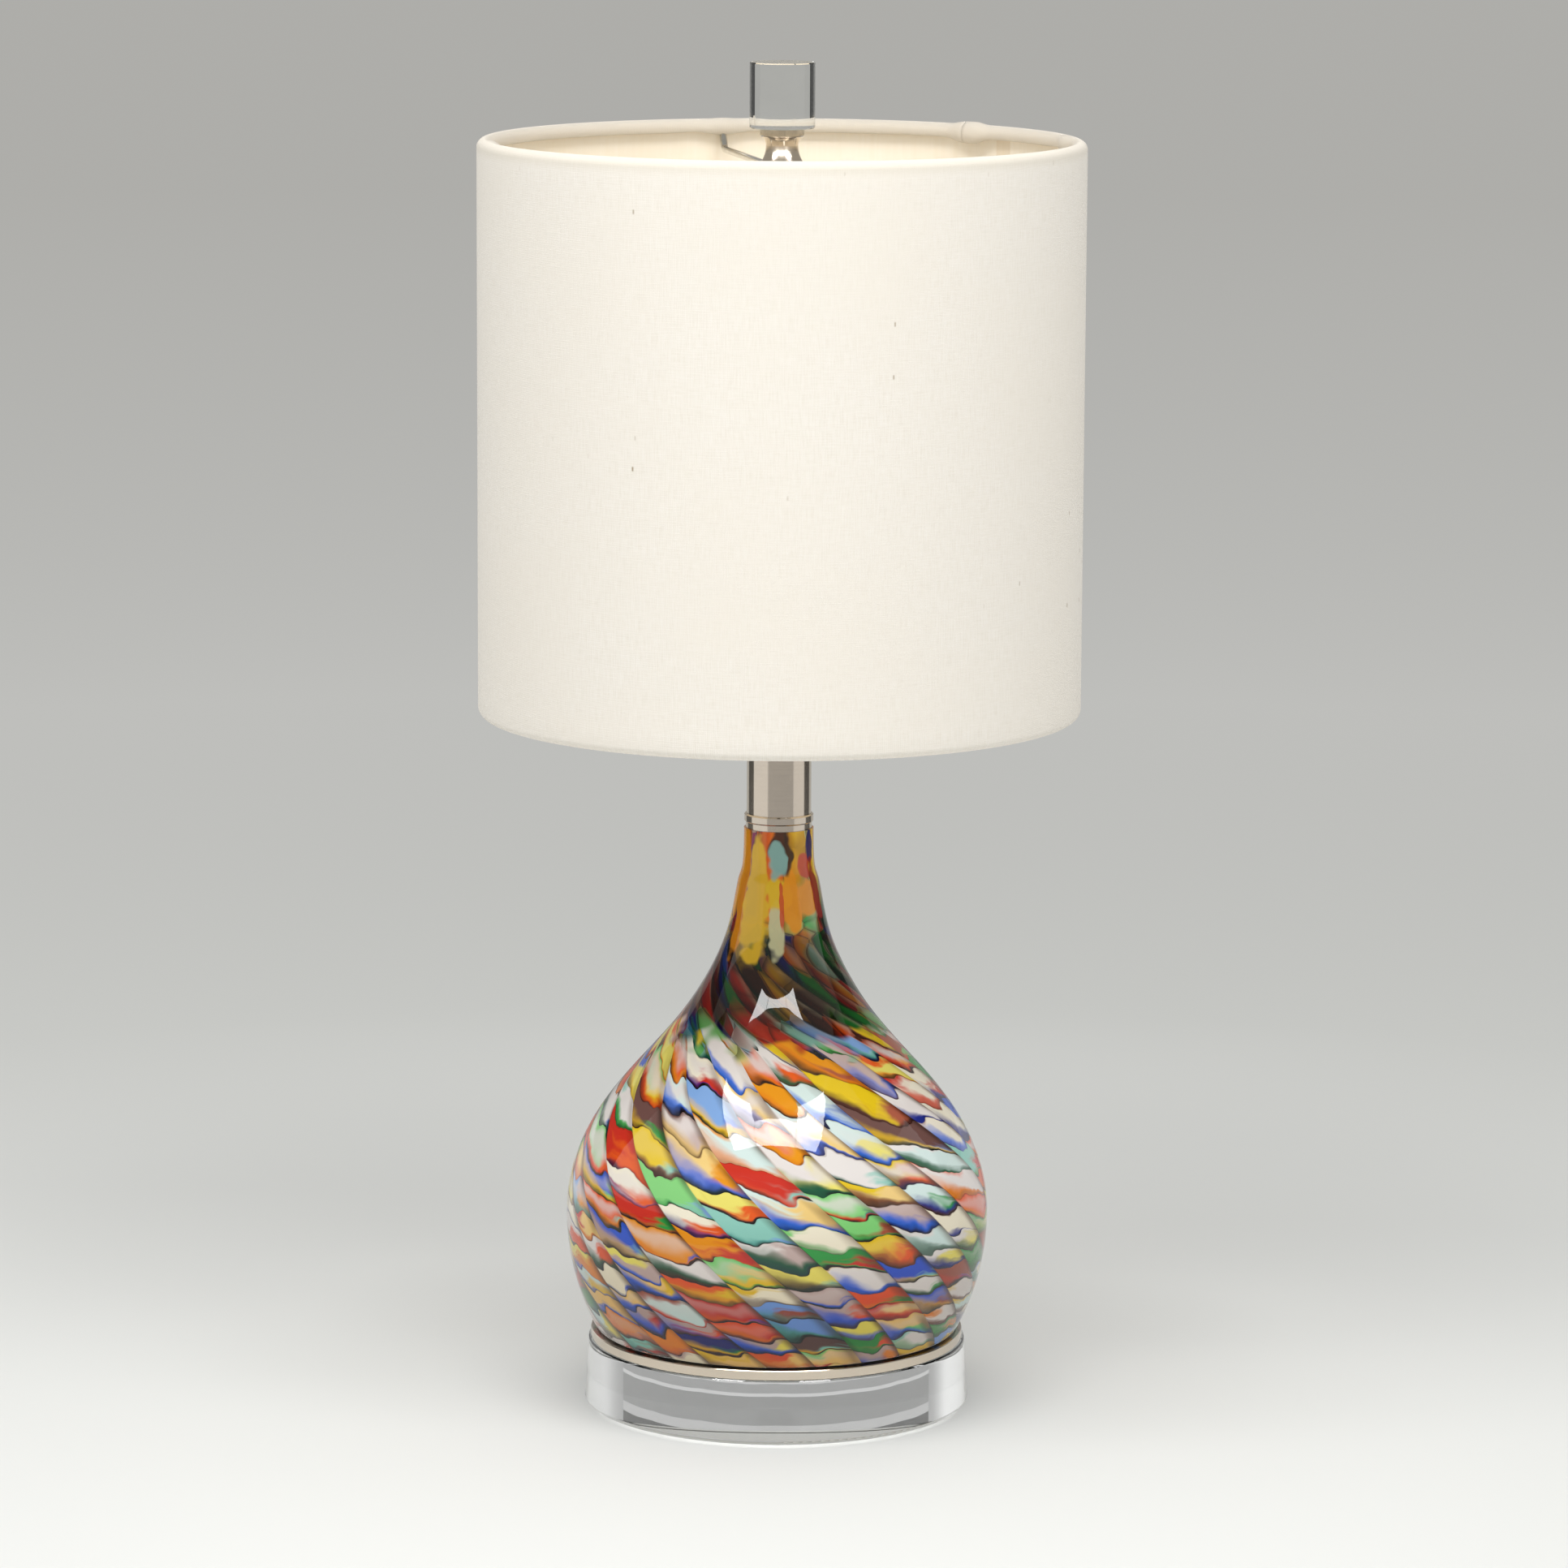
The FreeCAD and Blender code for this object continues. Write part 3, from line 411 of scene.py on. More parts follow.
def uneven_rows(graph, row, strip_id, across):
    """Makes rows swell and shrink across each strip, some thick and some thin, none folded over."""
    picks = graph.split(graph.white(graph.vector(strip_id, 31.0, 7.0)).outputs["Color"])
    row = graph.add(row, graph.range(picks[2], 0.0, 1.0, -0.3, 0.3, smooth=False))
    bulge = graph.times(graph.math("COSINE", graph.times(across, FULL_TURN)), -lens_depth)
    lens = graph.times(graph.math("COSINE", graph.times(row, FULL_TURN / 2)), bulge)
    swing = graph.add(graph.times(row, FULL_TURN / 3), graph.times(picks[1], FULL_TURN))
    return graph.add(graph.add(row, lens), graph.times(graph.math("SINE", swing), 0.12))


def belly_colour(graph, angle, flow, rows, phase, place):
    """Lens-shaped chips between the optic ribs, pale inside and deep along their lower edges."""
    strip = graph.math("FLOOR", phase)
    across = graph.fraction(phase)
    strip_id = graph.math("FLOORED_MODULO", strip, float(optic_ribs))
    lift = graph.curve(across, rib_lift)
    depth = graph.add(graph.range(flow, 84.0, 110.0, 0.3, 0.55), graph.range(flow, 135.0, 205.0, 0.0, 0.35))
    lift = graph.times(lift, depth)
    wobble = graph.noise(place, scale=0.09, detail=2.0)
    row = graph.math("SUBTRACT", rows, graph.times(angle, chip_rows / FULL_TURN))
    row = uneven_rows(graph, graph.add(row, lift), strip_id, across)
    row = graph.add(row, graph.range(wobble, 0.2, 0.8, -0.17, 0.17, smooth=False))
    number = graph.math("FLOOR", row)
    down = graph.fraction(row)
    row_id = graph.math("FLOORED_MODULO", number, float(chip_rows))

    own = graph.white(graph.vector(strip_id, row_id, 11.0)).outputs
    own_pick = graph.split(own["Color"])
    shared = graph.white(graph.vector(strip_id, row_id, 3.0)).outputs
    shared_pick = graph.split(shared["Color"])
    streak = graph.noise(graph.vector(graph.add(graph.times(down, 2.6), graph.times(row_id, 7.0)),
                                      graph.add(graph.times(across, 1.3), graph.times(strip_id, 5.0)), 0.0))
    main = graph.ramp(shared["Value"], palette_stops(belly_palette), steps=True)
    other = graph.ramp(own["Value"], palette_stops(belly_palette), steps=True)
    deep = graph.ramp(shared_pick[0], palette_stops(deep_palette), steps=True)
    dark = graph.ramp(own_pick[1], palette_stops(dark_palette), steps=True)

    # Second colour coming in from below
    turn = graph.add(graph.times(across, 0.45), graph.times(down, 0.8))
    turn = graph.add(turn, graph.range(streak, 0.2, 0.8, -0.35, 0.35, smooth=False))
    change = graph.range(own_pick[0], 0.0, 1.0, 0.1, 1.1, smooth=False)
    second = graph.range(graph.math("SUBTRACT", turn, change), -0.17, 0.17)
    colour = graph.mix(second, main, other)

    # Pale heart
    heart = graph.times(graph.range(down, 0.0, 0.25), graph.range(down, 0.8, 0.35))
    heart = graph.times(heart, graph.range(shared_pick[2], 0.6, 0.8, 0.0, 0.8))
    heart = graph.times(heart, graph.range(flow, 140.0, 190.0, 1.0, 0.4))
    colour = graph.mix(heart, colour, linear(228, 220, 216))

    # Deep lower edge
    reach = graph.times(graph.curve(across, shade_reach), graph.range(shared_pick[1], 0.0, 1.0, 0.3, 1.15))
    reach = graph.times(reach, graph.range(flow, 140.0, 205.0, 1.0, 1.3))
    top = graph.math("SUBTRACT", graph.range(streak, 0.2, 0.8, 1.15, 0.85, smooth=False), reach)
    share = graph.math("DIVIDE", graph.math("SUBTRACT", down, top), reach)
    shading = graph.times(graph.range(share, 0.0, 0.75), graph.range(own_pick[2], 0.0, 0.6, 0.55, 1.0))
    colour = graph.mix(shading, colour, deep)
    shadow = graph.times(graph.range(share, 0.55, 1.05), graph.range(own_pick[0], 0.1, 0.5, 0.3, 1.0))
    colour = graph.mix(shadow, colour, dark)

    # Outline, broken and uneven
    outline = graph.add(graph.range(down, 0.87, 1.0), graph.range(down, 0.05, 0.0))
    outline = graph.times(outline, graph.range(streak, 0.38, 0.62, 0.1, 1.0))
    return graph.mix(outline, colour, graph.mix(0.7, colour, linear(110, 66, 46), "MULTIPLY")), across


# Chips at the front of the neck: bearing, half width in degrees, flow, half length, colour
neck_chips = [
    (-56, 9, 27, 25, (216, 136, 16)), (-32, 18, 27, 24, (228, 184, 36)), (-2, 9, 38, 11, (206, 204, 160)),
    (0, 16, 24, 7, (228, 190, 30)), (17, 12, 27, 13, (236, 150, 12)), (4, 3, 28, 11, (206, 76, 24)),
    (42, 14, 26, 8, (232, 150, 40)), (44, 12, 14, 5, (196, 70, 50)), (60, 9, 6, 6, (30, 34, 104)),
    (62, 9, 24, 12, (150, 44, 38)), (2, 20, 8, 9, (36, 20, 14)), (-3, 15, 11, 8, (138, 182, 176)),
]


def add_neck_chips(graph, colour, angle, flow, place):
    """Lays the neck's upright chips, with ragged outlines, over the colour."""
    degrees = graph.times(angle, 360 / FULL_TURN)
    ragged = graph.range(graph.noise(place, scale=0.16, detail=1.0), 0.25, 0.75, -0.6, 0.6, smooth=False)
    for bearing, half_width, middle, half_length, paint in neck_chips:
        slant = graph.times(graph.math("SUBTRACT", flow, middle), 0.12)
        aside = graph.math("SUBTRACT", degrees, graph.add(slant, bearing))
        aside = graph.math("POWER", graph.math("ABSOLUTE", graph.times(aside, 1 / half_width)), 2.2)
        below = graph.times(graph.math("SUBTRACT", flow, middle), 1 / half_length)
        below = graph.math("POWER", graph.math("ABSOLUTE", below), 2.2)
        inside = graph.range(graph.add(graph.add(aside, below), ragged), 1.35, 0.8)
        colour = graph.mix(graph.times(inside, 0.92), colour, linear(*paint))
    return colour


def glass_colour(graph, place):
    """Neck and shoulder above, rows of chips between ribs below, then rib lines and a deeper foot."""
    heights, flows = glass_flow()
    x, y, z = graph.split(place)
    share = graph.range(z, glass_low, glass_high, smooth=False)
    angle = graph.math("ARCTAN2", x, graph.times(y, -1.0))
    flow = height_curve(graph, share, heights, flows)
    ribs = height_curve(graph, share, heights, twist(rib_rate, flows))
    bands = height_curve(graph, share, heights, twist(band_rate, flows))
    along = height_curve(graph, share, heights, twist(chip_rate, flows))
    rows = height_curve(graph, share, heights, twist(row_rate, flows))

    rib_angle = graph.math("SUBTRACT", angle, ribs)
    jitter = graph.noise(polar(graph, rib_angle, 3.2, graph.times(flow, 0.006)))
    phase = graph.times(rib_angle, optic_ribs / FULL_TURN)
    phase = graph.add(phase, graph.range(jitter, 0.2, 0.8, -0.45, 0.45, smooth=False))

    shoulder = shoulder_colour(graph, angle, flow, bands, along)
    shoulder = add_neck_chips(graph, shoulder, angle, flow, place)
    belly, across = belly_colour(graph, angle, flow, rows, phase, place)
    blend = graph.noise(place, scale=0.08, detail=1.0)
    blend = graph.add(flow, graph.range(blend, 0.2, 0.8, -9.0, 9.0, smooth=False))
    colour = graph.mix(graph.range(blend, 84.0, 90.0), shoulder, belly)

    # Rib lines, with a fold of deeper colour before each
    wear = graph.noise(polar(graph, rib_angle, 9.0, graph.times(flow, 0.06)), detail=1.0)
    ridge = graph.math("PINGPONG", phase, 0.5)
    line = graph.times(graph.range(ridge, 0.045, 0.0), graph.range(wear, 0.35, 0.6, 0.15, 0.95))
    fold = graph.times(graph.range(across, 0.74, 1.0), graph.range(wear, 0.3, 0.6, 0.25, 0.9))
    line = graph.times(graph.math("MAXIMUM", line, fold), graph.range(flow, 78.0, 112.0))
    colour = graph.mix(line, colour, graph.mix(0.85, colour, linear(112, 82, 56), "MULTIPLY"))
    dense = graph.range(flow, 145.0, 205.0, 0.0, 0.75)
    deeper = graph.mix(0.5, colour, linear(160, 152, 144))
    return graph.mix(dense, colour, graph.mix(1.0, colour, deeper, "MULTIPLY"))


def glass_material():
    """Coloured chips under a smooth clear casing."""
    graph = Graph("art_glass")
    graph.set(Base_Color=glass_colour(graph, graph.place()), Roughness=0.02, IOR=1.5)
    return graph.material


# Other materials

def satin_metal(name, colour, roughness, anisotropy=0.5):
    """Turned and brushed metal, with its brush lines round the lamp's axis."""
    graph = Graph(name)
    x, y, z = graph.split(graph.place())
    radius = graph.math("SQRT", graph.add(graph.times(x, x), graph.times(y, y)))
    angle = graph.math("ARCTAN2", y, x)
    strokes = graph.noise(graph.vector(graph.times(graph.math("SINE", angle), 1.2),
                                       graph.times(radius, brush_lines), graph.times(z, brush_lines)),
                          detail=3.0)
    cloud = graph.noise(graph.place(), scale=0.08, detail=3.0)
    tone = graph.ramp(graph.add(graph.times(strokes, 0.6), graph.times(cloud, 0.4)),
                      [(0.3, linear(*(0.93 * part for part in colour))), (0.7, linear(*colour))])
    wear = graph.range(graph.add(graph.times(strokes, 0.5), graph.times(cloud, 0.5)), 0.3, 0.7,
                       0.85 * roughness, 1.2 * roughness)
    # The plate's underside, against the clear base, isn't polished
    wear = graph.range(z, 26.8, 26.65, wear, 0.75)
    tangent = graph.node("Tangent", direction_type="RADIAL", axis="Z").outputs[0]
    graph.set(Base_Color=tone, Roughness=wear, Metallic=1.0, Anisotropic=anisotropy, Tangent=tangent,
              Anisotropic_Rotation=0.25, Normal=graph.bump(strokes, 0.00001, 0.15))
    return graph.material


def bright_metal(name, colour, roughness):
    """Plated or plain bright metal, with fine marks and uneven shine."""
    graph = Graph(name)
    cloud = graph.noise(graph.place(), scale=0.25, detail=4.0)
    fine = graph.noise(graph.place(), scale=2.4, detail=2.0)
    tone = graph.ramp(cloud, [(0.3, linear(*(0.9 * part for part in colour))), (0.65, linear(*colour))])
    graph.set(Base_Color=tone, Metallic=1.0,
              Roughness=graph.range(graph.add(cloud, graph.times(fine, 0.3)), 0.4, 0.9,
                                    0.7 * roughness, 1.5 * roughness),
              Normal=graph.bump(fine, 0.00002, 0.1))
    return graph.material


def moulded(name, colour, roughness, grain=1.6):
    """Plastic, rubber or fibre: fine grain and slow variation of colour."""
    graph = Graph(name)
    grains = graph.noise(graph.place(), scale=grain, detail=3.0)
    cloud = graph.noise(graph.place(), scale=0.12, detail=2.0)
    tone = graph.ramp(cloud, [(0.3, linear(*(0.86 * part for part in colour))), (0.7, linear(*colour))])
    graph.set(Base_Color=tone, Roughness=graph.range(grains, 0.3, 0.7, 0.9 * roughness, 1.1 * roughness),
              Normal=graph.bump(grains, 0.00004, 0.5))
    return graph


def clear(name, colour, ior):
    """Polished clear plastic with a trace of cloudiness in its colour."""
    graph = Graph(name)
    haze = graph.noise(graph.place(), scale=0.15, detail=4.0)
    tone = graph.ramp(haze, [(0.35, linear(*(0.985 * part for part in colour))), (0.65, linear(*colour))])
    graph.set(Base_Color=tone, Transmission_Weight=1.0, IOR=ior, Roughness=0.0)
    return graph.material


def bulb_coating():
    """White coating, clouded a little, under smooth glass."""
    graph = Graph("bulb_white")
    cloud = graph.noise(graph.place(), scale=0.05, detail=1.0)
    tone = graph.ramp(cloud, [(0.3, linear(222, 220, 212)), (0.7, linear(230, 228, 221))])
    graph.set(Base_Color=tone, Roughness=0.3, Coat_Weight=0.5, Coat_Roughness=0.05)
    return graph.material


def threads(graph, place, pitch):
    """Height of one set of threads at a distance across them, in millimetres."""
    return graph.math("ABSOLUTE", graph.math("SINE", graph.times(place, math.pi / pitch)))


def cloth_material():
    """Plain weave with uneven yarns, slubs and a few specks."""
    graph = Graph("linen")
    cloth = graph.node("Attribute", attribute_name="cloth").outputs["Vector"]
    x, y = graph.split(cloth)[:2]
    sway = graph.noise(graph.scaled(cloth, (0.02, 0.02, 0.0)), detail=1.0)
    x = graph.add(x, graph.times(sway, 3.0))
    thread_count = 1 / thread_pitch
    upright = graph.noise(graph.vector(graph.times(x, thread_count), graph.times(y, 0.14), 0.0))
    level = graph.noise(graph.vector(graph.times(x, 0.14), graph.times(y, thread_count), 5.0))
    warp = graph.times(threads(graph, x, thread_pitch), graph.range(upright, 0.25, 0.75, 0.5, 1.2))
    weft = graph.times(threads(graph, y, thread_pitch), graph.range(level, 0.25, 0.75, 0.5, 1.2))
    crossings = graph.scaled(cloth, (thread_count, thread_count, 0.0))
    parity = graph.node("TexChecker", {"Vector": crossings, "Scale": 1.0}).outputs["Fac"]
    height = graph.add(graph.times(warp, graph.range(parity, 0.0, 1.0, 1.0, 0.45)),
                       graph.times(weft, graph.range(parity, 0.0, 1.0, 0.35, 0.8)))
    yarn = graph.add(graph.times(upright, 0.6), graph.times(level, 0.4))
    tone = graph.ramp(yarn, [(0.25, linear(238, 231, 219)), (0.5, linear(246, 240, 230)),
                             (0.75, linear(250, 245, 237))])
    cloud = graph.noise(graph.scaled(cloth, (0.012, 0.012, 0.0)), detail=3.0)
    tone = graph.mix(graph.range(cloud, 0.35, 0.7, 0.0, 0.5), tone, linear(245, 238, 226))
    # Painted shade: the cloth is darker where the threads dip, in the hollows between them
    thread_gap_shade = graph.range(height, 0.0, 0.35, 0.14, 0.0)
    tone = graph.mix(thread_gap_shade, tone, linear(206, 192, 170))

    # Slubs: a few short thick stretches of upright yarn, some of them brown
    cells = graph.scaled(cloth, (0.05, 0.05, 0.0))
    slubs = graph.voronoi(cells).outputs
    pick = graph.split(slubs["Color"])
    away = graph.split(graph.minus(cells, slubs["Position"]))
    slub = graph.times(graph.range(graph.math("ABSOLUTE", away[0]), 0.026, 0.008),
                       graph.range(graph.math("ABSOLUTE", away[1]), 0.06, 0.02))
    slub = graph.times(slub, graph.math("GREATER_THAN", pick[0], 0.90))
    tone = graph.mix(graph.times(slub, graph.range(pick[1], 0.3, 1.0, 0.1, 0.8)), tone, linear(150, 126, 92))
    height = graph.add(height, graph.times(slub, 0.8))

    # Painted shade on the top roll: darker towards its top, and darker still on its inner side, which the
    # glow light inside the shade lights too brightly
    place = graph.split(graph.place())
    radius = graph.math("SQRT", graph.add(graph.times(place[0], place[0]), graph.times(place[1], place[1])))
    inside = graph.range(radius, 115.4, 113.2)
    tone = graph.mix(graph.range(place[2], 494.0, 499.0, 0.0, 0.75), tone, linear(234, 226, 211))
    tone = graph.mix(graph.times(inside, graph.range(place[2], 490.0, 492.0)), tone, linear(214, 206, 192))
    graph.set(Base_Color=tone, Roughness=0.92, Sheen_Weight=0.12, Sheen_Roughness=0.6,
              Normal=graph.bump(height, 0.00012, 0.4))
    graph.shader.inputs["Specular IOR Level"].default_value = 0.2
    return graph.material


def liner_material():
    """Smooth fibrous sheet with a darker strip along its seam."""
    graph = Graph("liner")
    place = graph.place()
    fibres = graph.noise(graph.scaled(place, (0.5, 0.5, 0.03)), detail=4.0)
    cloud = graph.noise(place, scale=0.02, detail=3.0)
    tone = graph.ramp(graph.add(graph.times(fibres, 0.4), graph.times(cloud, 0.6)), [
        (0.3, linear(244, 233, 212)), (0.7, linear(249, 241, 226))])
    x, y = graph.split(place)[:2]
    aside = graph.times(graph.math("ARCTAN2", y, x), 360 / FULL_TURN)
    aside = graph.math("ABSOLUTE", graph.math("SUBTRACT", aside, seam_bearing))
    tone = graph.mix(graph.range(aside, 2.1, 1.8, 0.0, 0.35), tone, linear(214, 190, 152))
    graph.set(Base_Color=tone, Roughness=graph.range(fibres, 0.3, 0.7, 0.45, 0.6),
              Normal=graph.bump(fibres, 0.00003, 0.3))
    return graph.material


def make_materials():
    """One material for each slot of the record."""
    rubber = moulded("clear_rubber", (236, 238, 236), 0.3)
    rubber.set(Transmission_Weight=0.85)
    plastic = moulded("clear_plastic", (225, 226, 224), 0.25)
    plastic.set(Transmission_Weight=0.6)
    return {
        "clear_rubber": rubber.material,
        "clear_acrylic": clear("clear_acrylic", (252, 253, 252), 1.49),
        "satin_nickel": satin_metal("satin_nickel", (218, 206, 190), 0.17, anisotropy=0.8),
        "polished_nickel": bright_metal("polished_nickel", (220, 216, 208), 0.07),
        "plated_steel": bright_metal("plated_steel", (214, 212, 206), 0.1),
        "art_glass": glass_material(),
        "black_rubber": moulded("black_rubber", (28, 27, 26), 0.7).material,
        "clear_plastic": plastic.material,
        "brass": bright_metal("brass", (222, 178, 104), 0.2),
        "fibre": moulded("fibre", (150, 138, 116), 0.85, grain=0.9).material,
        "moulded_black": moulded("moulded_black", (26, 26, 27), 0.42).material,
        "bulb_white": bulb_coating(),
        "bulb_metal": satin_metal("bulb_metal", (205, 205, 203), 0.25),
        "liner": liner_material(),
        "linen": cloth_material(),
    }


# Shade cloth

def bumped_roll(bearing):
    """Extra radius of the top roll, where cloth gathers at the rods and at the lap."""
    extra = 0.0
    for arm in arm_bearings:
        away = (bearing - arm + 180) % 360 - 180
        extra += rod_swell * math.exp(-(away / 3.0) ** 2)
        extra -= rod_dip * math.exp(-((abs(away) - 6.5) / 2.5) ** 2)
    away = (bearing - lap_bearing + 180) % 360 - 180
    extra += lap_swell / (1 + math.exp(-(away + 4.2) / 0.5)) / (1 + math.exp(away - 3.0))
    return extra


def cloth_profile(bearing):
    """Cloth's section at one bearing, from inside the bottom roll to inside the top one."""
    points = []
    swell = bumped_roll(bearing)
    for angle in range(-235, 1, 10):
        turn = math.radians(angle)
        points.append((ring_radius + roll_radius * math.cos(turn),
                       bottom_ring_level + roll_radius * math.sin(turn)))
    rows = 44
    for row in range(1, rows):
        share = row / rows
        points.append((shade_radius, bottom_ring_level + share * (top_ring_level - bottom_ring_level)))
    for angle in range(0, 236, 10):
        turn = math.radians(angle)
        inner = max(0.0, -math.cos(turn)) ** 0.7
        reach = roll_radius - 0.0005 * inner + swell * inner
        points.append((ring_radius + reach * math.cos(turn), top_ring_level + reach * math.sin(turn)))
    return points


def lathe_mesh(name, profile_at, columns):
    """Round of quads from lap to lap, with the distances round and along the cloth in millimetres."""
    sections = [profile_at(lap_bearing + column * 360 / columns) for column in range(columns + 1)]
    rows = len(sections[0])
    places = []
    cloth = []
    for column in range(columns + 1):
        angle = math.radians(lap_bearing + column * 360 / columns)
        along = 0.0
        for row, (radius, level) in enumerate(sections[column % columns]):
            if row:
                before = sections[column % columns][row - 1]
                along += math.hypot(radius - before[0], level - before[1])
            places.append((radius * math.cos(angle), radius * math.sin(angle), level))
            cloth += [angle * shade_radius * 1000, along * 1000, 0.0]
    faces = []
    for column in range(columns):
        for row in range(rows - 1):
            first = column * rows + row
            faces.append((first, first + rows, first + rows + 1, first + 1))
    mesh = bpy.data.meshes.new(name)
    mesh.from_pydata(places, [], faces)
    attribute = mesh.attributes.new("cloth", "FLOAT_VECTOR", "POINT")
    attribute.data.foreach_set("vector", np.array(cloth, np.float32))
    mesh.shade_smooth()
    return mesh


def add_piece(name, mesh, body, material):
    """Piece that rides on a body."""
    piece = bpy.data.objects.new(name, mesh)
    bpy.context.collection.objects.link(piece)
    mesh.materials.append(material)
    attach(piece, body)
    return piece


def make_cloth(materials):
    """The shade's cloth, wrapped round both rings, in place of the plain cover and rolls."""
    mesh = lathe_mesh("shade_cloth", cloth_profile, 360)
    cloth = add_piece("shade_cloth", mesh, "shade", materials["linen"])
    thick = cloth.modifiers.new("thickness", "SOLIDIFY")
    thick.thickness = cloth_thickness
    thick.offset = -1.0
    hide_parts("shade_cover", "top_rim_roll", "bottom_rim_roll")


# Stage and camera

def make_camera():
    """Camera at the photograph's place."""
    data = bpy.data.cameras.new("camera")
    data.sensor_width = sensor_width
    data.lens = focal_pixels * sensor_width / image_width
    camera = bpy.data.objects.new("camera", data)
    camera.location = camera_place
    tilt = Euler((math.pi / 2 - camera_pitch_down, 0, 0)).to_matrix()
    roll = Euler((0, 0, camera_roll)).to_matrix()
    camera.rotation_euler = (tilt @ roll).to_euler()
    bpy.context.collection.objects.link(camera)
    bpy.context.scene.camera = camera
    data.clip_end = 100


def panel(name, low, high):
    """Softbox facing down, between two (x, y) corners at the panel level."""
    width = high[0] - low[0]
    depth = high[1] - low[1]
    data = bpy.data.lights.new(name, "AREA")
    data.shape = "RECTANGLE"
    data.size = width
    data.size_y = depth
    data.energy = panel_radiance * math.pi * width * depth
    light = bpy.data.objects.new(name, data)
    light.location = ((low[0] + high[0]) / 2, (low[1] + high[1]) / 2, panel_level)
    light.visible_glossy = False
    light.visible_transmission = False
    bpy.context.collection.objects.link(light)


def shade_glow():
    """Warm light inside the shade, for the daylight that comes in through its cloth."""
    data = bpy.data.lights.new("shade_glow", "POINT")
    data.energy = shade_glow_power
    data.color = (1.0, 0.95, 0.89)
    data.shadow_soft_size = 0.02
    light = bpy.data.objects.new("shade_glow", data)
    light.location = (0, 0, 0.455)
    light.visible_glossy = False
    light.visible_transmission = False
    bpy.context.collection.objects.link(light)
    # The bulb lies too near this light, and goes without it
    unlit = bpy.data.collections.new("unlit")
    unlit.objects.link(nodes["bulb_glass"])
    light.light_linking.receiver_collection = unlit
    unlit.collection_objects[0].light_linking.link_state = "EXCLUDE"


def make_world():
    """Even fill light, and the grey that is seen behind the lamp, mirrored and through clear pieces."""
    world = bpy.data.worlds.new("studio")
    bpy.context.scene.world = world
    world.use_nodes = True
    tree = world.node_tree
    tree.nodes.clear()
    output = tree.nodes.new("ShaderNodeOutputWorld")
    fill = tree.nodes.new("ShaderNodeBackground")
    seen = tree.nodes.new("ShaderNodeBackground")
    choose = tree.nodes.new("ShaderNodeMixShader")
    paths = tree.nodes.new("ShaderNodeLightPath")
    fill.inputs["Strength"].default_value = fill_strength
    fill.inputs["Color"].default_value = (1, 1, 1, 1)
    seen.inputs["Color"].default_value = linear(172, 170, 164)
    first = tree.nodes.new("ShaderNodeMath")
    second = tree.nodes.new("ShaderNodeMath")
    for node in (first, second):
        node.operation = "MAXIMUM"
    tree.links.new(paths.outputs["Is Camera Ray"], first.inputs[0])
    tree.links.new(paths.outputs["Is Glossy Ray"], first.inputs[1])
    tree.links.new(first.outputs[0], second.inputs[0])
    tree.links.new(paths.outputs["Is Transmission Ray"], second.inputs[1])
    tree.links.new(second.outputs[0], choose.inputs[0])
    tree.links.new(fill.outputs[0], choose.inputs[1])
    tree.links.new(seen.outputs[0], choose.inputs[2])
    tree.links.new(choose.outputs[0], output.inputs[0])


def make_floor():
    """Pale floor whose tone changes slowly with the distance from the lamp: painted light and shade of the
    studio's falloff.
    """
    mesh = bpy.data.meshes.new("floor")
    reach = 30.0
    corners = [(-reach, -reach, 0), (reach, -reach, 0), (reach, reach, 0), (-reach, reach, 0)]
    mesh.from_pydata(corners, [], [(0, 1, 2, 3)])
    floor = bpy.data.objects.new("floor", mesh)
    bpy.context.collection.objects.link(floor)
    graph = Graph("floor")
    x, y = graph.split(graph.node("TexCoord").outputs["Object"])[:2]
    distance = graph.math("SQRT", graph.add(graph.times(x, x), graph.times(y, y)))
    # Painted light and shade: darker about 0.8 m from the lamp, lighter about 1.8 m away, then a little
    # darker far off
    shade = graph.ramp(graph.range(distance, 0.0, 6.0, smooth=False), [
        (0.0, linear(236, 237, 234)), (0.05, linear(236, 237, 234)), (0.13, linear(229, 230, 226)),
        (0.3, linear(246, 246, 242)), (1.0, linear(237, 236, 231)),
    ])
    graph.set(Base_Color=shade, Roughness=0.9)
    graph.shader.inputs["Specular IOR Level"].default_value = 0.0
    mesh.materials.append(graph.material)


def reflected_card(name, corners, faces, strength, soft=False):
    """Plain card that is seen only in reflections and through clear plastic; its sides may fade out."""
    mesh = bpy.data.meshes.new(name)
    mesh.from_pydata(corners, [], faces)
    card = bpy.data.objects.new(name, mesh)
    bpy.context.collection.objects.link(card)
    graph = Graph(name)
    glow = graph.node("Emission", {"Strength": strength})
    if soft:
        across = graph.split(graph.node("TexCoord").outputs["UV"])[0]
        edge = graph.math("PINGPONG", across, 0.5)
        glow.inputs["Color"].default_value = (1, 1, 1, 1)
        graph.feed(glow.inputs["Strength"], graph.range(edge, 0.0, 0.25, dark_edge, strength))
    graph.feed(graph.output.inputs["Surface"], glow.outputs[0])
    mesh.materials.append(graph.material)
    card.visible_camera = False
    card.visible_diffuse = False
    card.visible_shadow = False
    return card


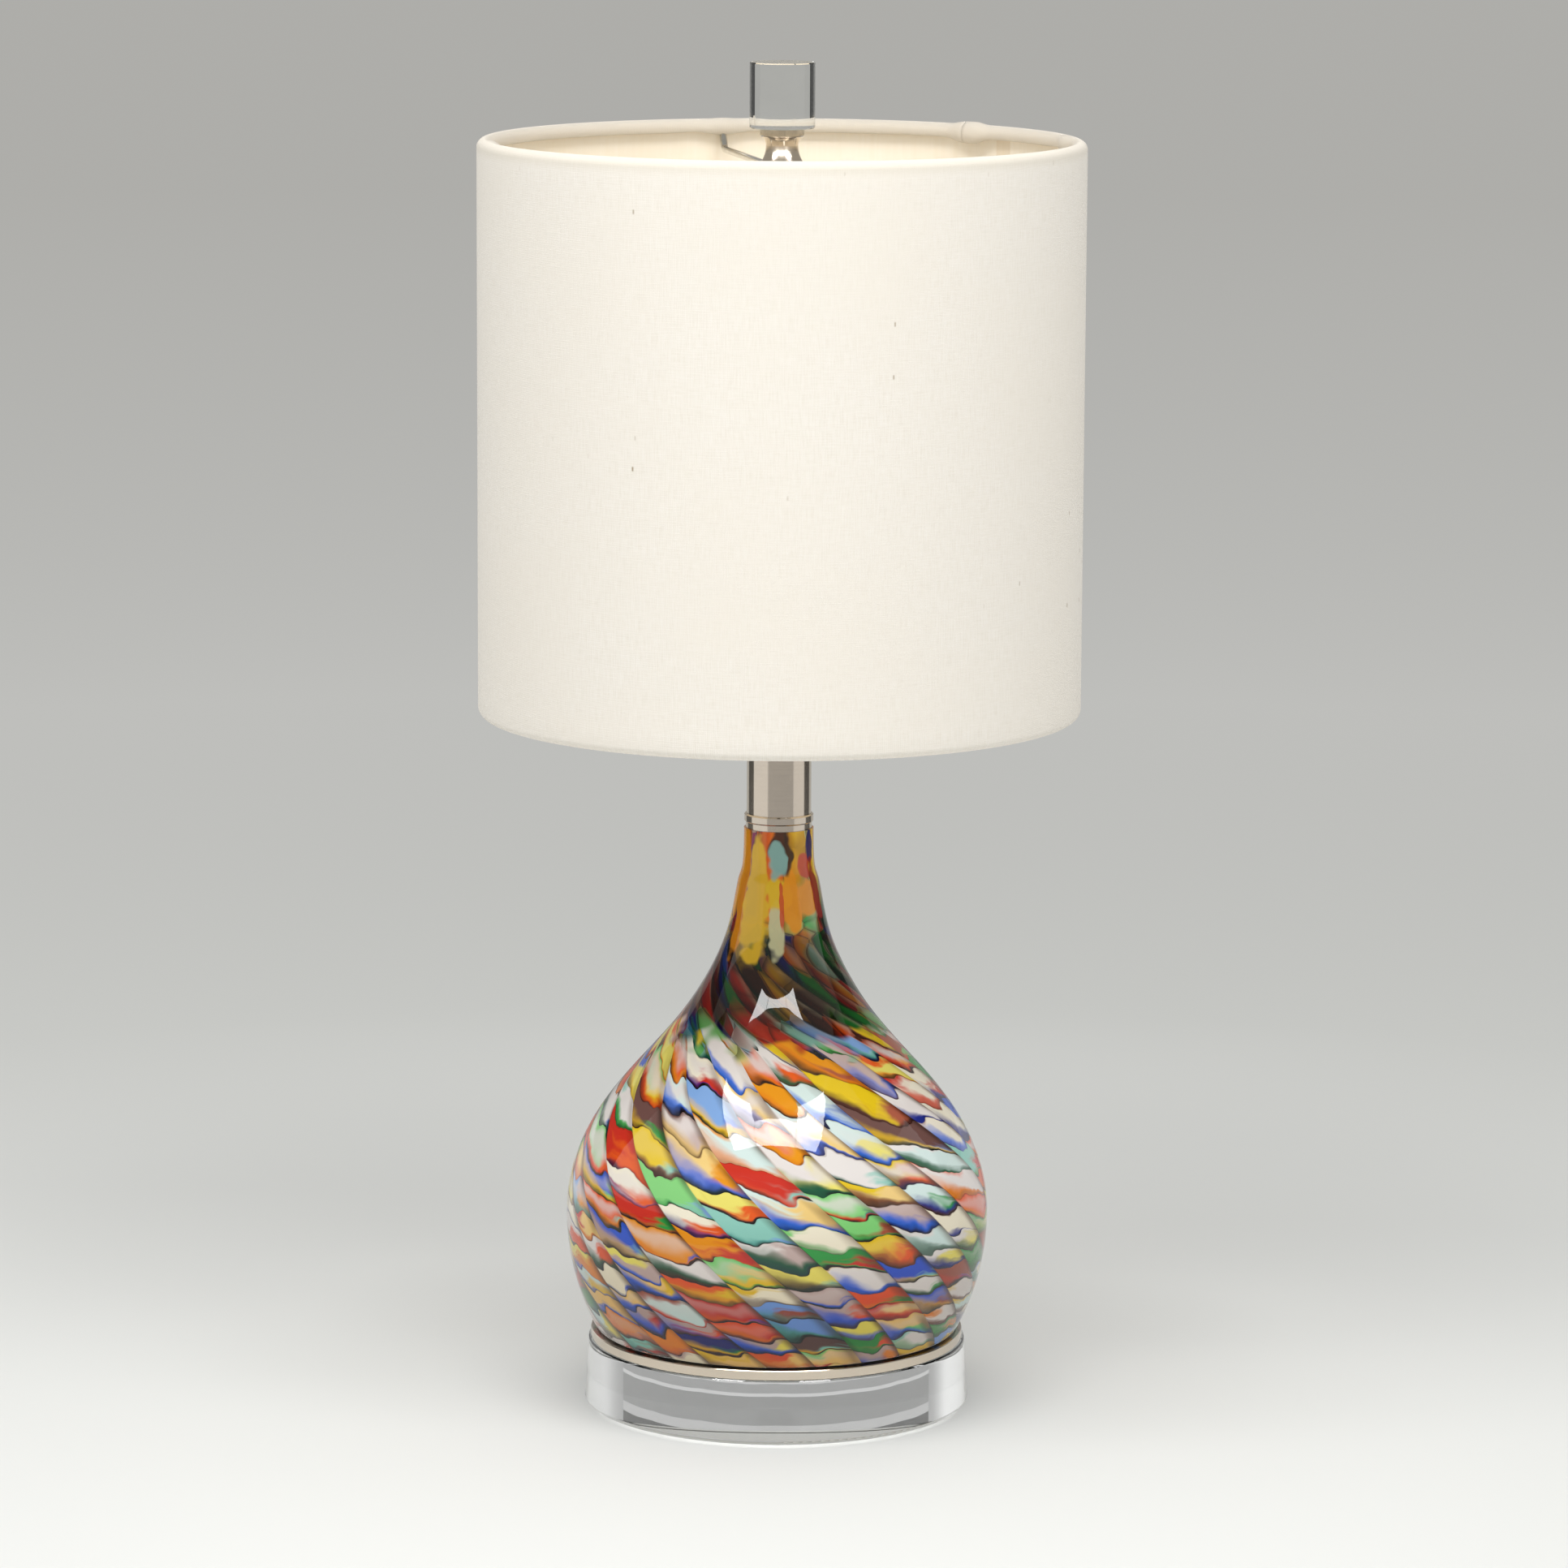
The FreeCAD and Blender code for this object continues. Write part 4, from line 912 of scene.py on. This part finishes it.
def upright_card(name, start, end, low, high, strength, soft=False, distance=card_distance):
    """Curved card round the lamp between two bearings from the front, in degrees, and two levels."""
    steps = 36
    corners = []
    for step in range(steps + 1):
        angle = math.radians(start + (end - start) * step / steps)
        x = distance * math.sin(angle)
        y = -distance * math.cos(angle)
        corners += [(x, y, low), (x, y, high)]
    faces = [(2 * step, 2 * step + 2, 2 * step + 3, 2 * step + 1) for step in range(steps)]
    card = reflected_card(name, corners, faces, strength, soft)
    across = card.data.uv_layers.new(name="across")
    for loop in card.data.loops:
        across.data[loop.index].uv = (loop.vertex_index // 2 / steps, loop.vertex_index % 2)


def overhead_card(name, outline):
    """Level card of the softbox over the front, as the glass and metal mirror it."""
    corners = [(x, y, softbox_level) for x, y in outline]
    reflected_card(name, corners, [tuple(range(len(corners)))], softbox_strength)


def dress_nodes(materials):
    """Gives each CAD node the material of its slot."""
    slots = {part["node"]: part["material_slot"] for part in frame["record"]["subparts"]}
    for name, node in nodes.items():
        node.data.materials.clear()
        node.data.materials.append(materials[slots[name]])


make_camera()
make_world()
make_floor()
panel("left_panel", (-0.773, -1.027), (-0.350, -0.260))
panel("right_panel", (0.265, -1.060), (0.740, -0.398))
panel("middle_panel", (-0.350, -1.010), (0.265, -0.670))
for side, outline in softboxes.items():
    overhead_card("softbox_" + side, outline)
upright_card("front_card", -39, 52, 0.12, 0.30, 0.5)
upright_card("left_card", -100, -39, 0.12, 0.30, 0.92)
upright_card("right_card", 52, 100, 0.12, 0.30, 0.85)
for turn, side, foot_strength in ((-1, "left", 0.88), (1, "right", 0.68)):
    upright_card(side + "_dark_low", 100 * turn, 134 * turn, 0.16, 0.36, 0.1)
    upright_card(side + "_dark_high", 82 * turn, 137 * turn, 0.39, 0.52, 0.05)
    upright_card(side + "_foot_card", 104 * turn, 150 * turn, 0.02, 0.13, foot_strength, soft=True)
for low, high, strength in foot_bands:
    upright_card(f"foot_band_{low * 10000:.0f}", -180, 180, low, high, strength, distance=band_distance)
shade_glow()
materials = make_materials()
dress_nodes(materials)
# Clear pieces let the light through, which a shadow of theirs would not show
for name in ("acrylic_base", "finial_cylinder"):
    nodes[name].visible_shadow = False
# A film of air hides what lies against the clear parts, seen through them
for name in ("seat_plate", "bumper_feet", "finial_collar"):
    nodes[name].visible_transmission = False
    nodes[name].visible_glossy = False
make_cloth(materials)

bpy.context.scene.view_settings.view_transform = "Standard"
# Light goes to and fro inside the clear base many times before it comes out
bpy.context.scene.cycles.glossy_bounces = 12
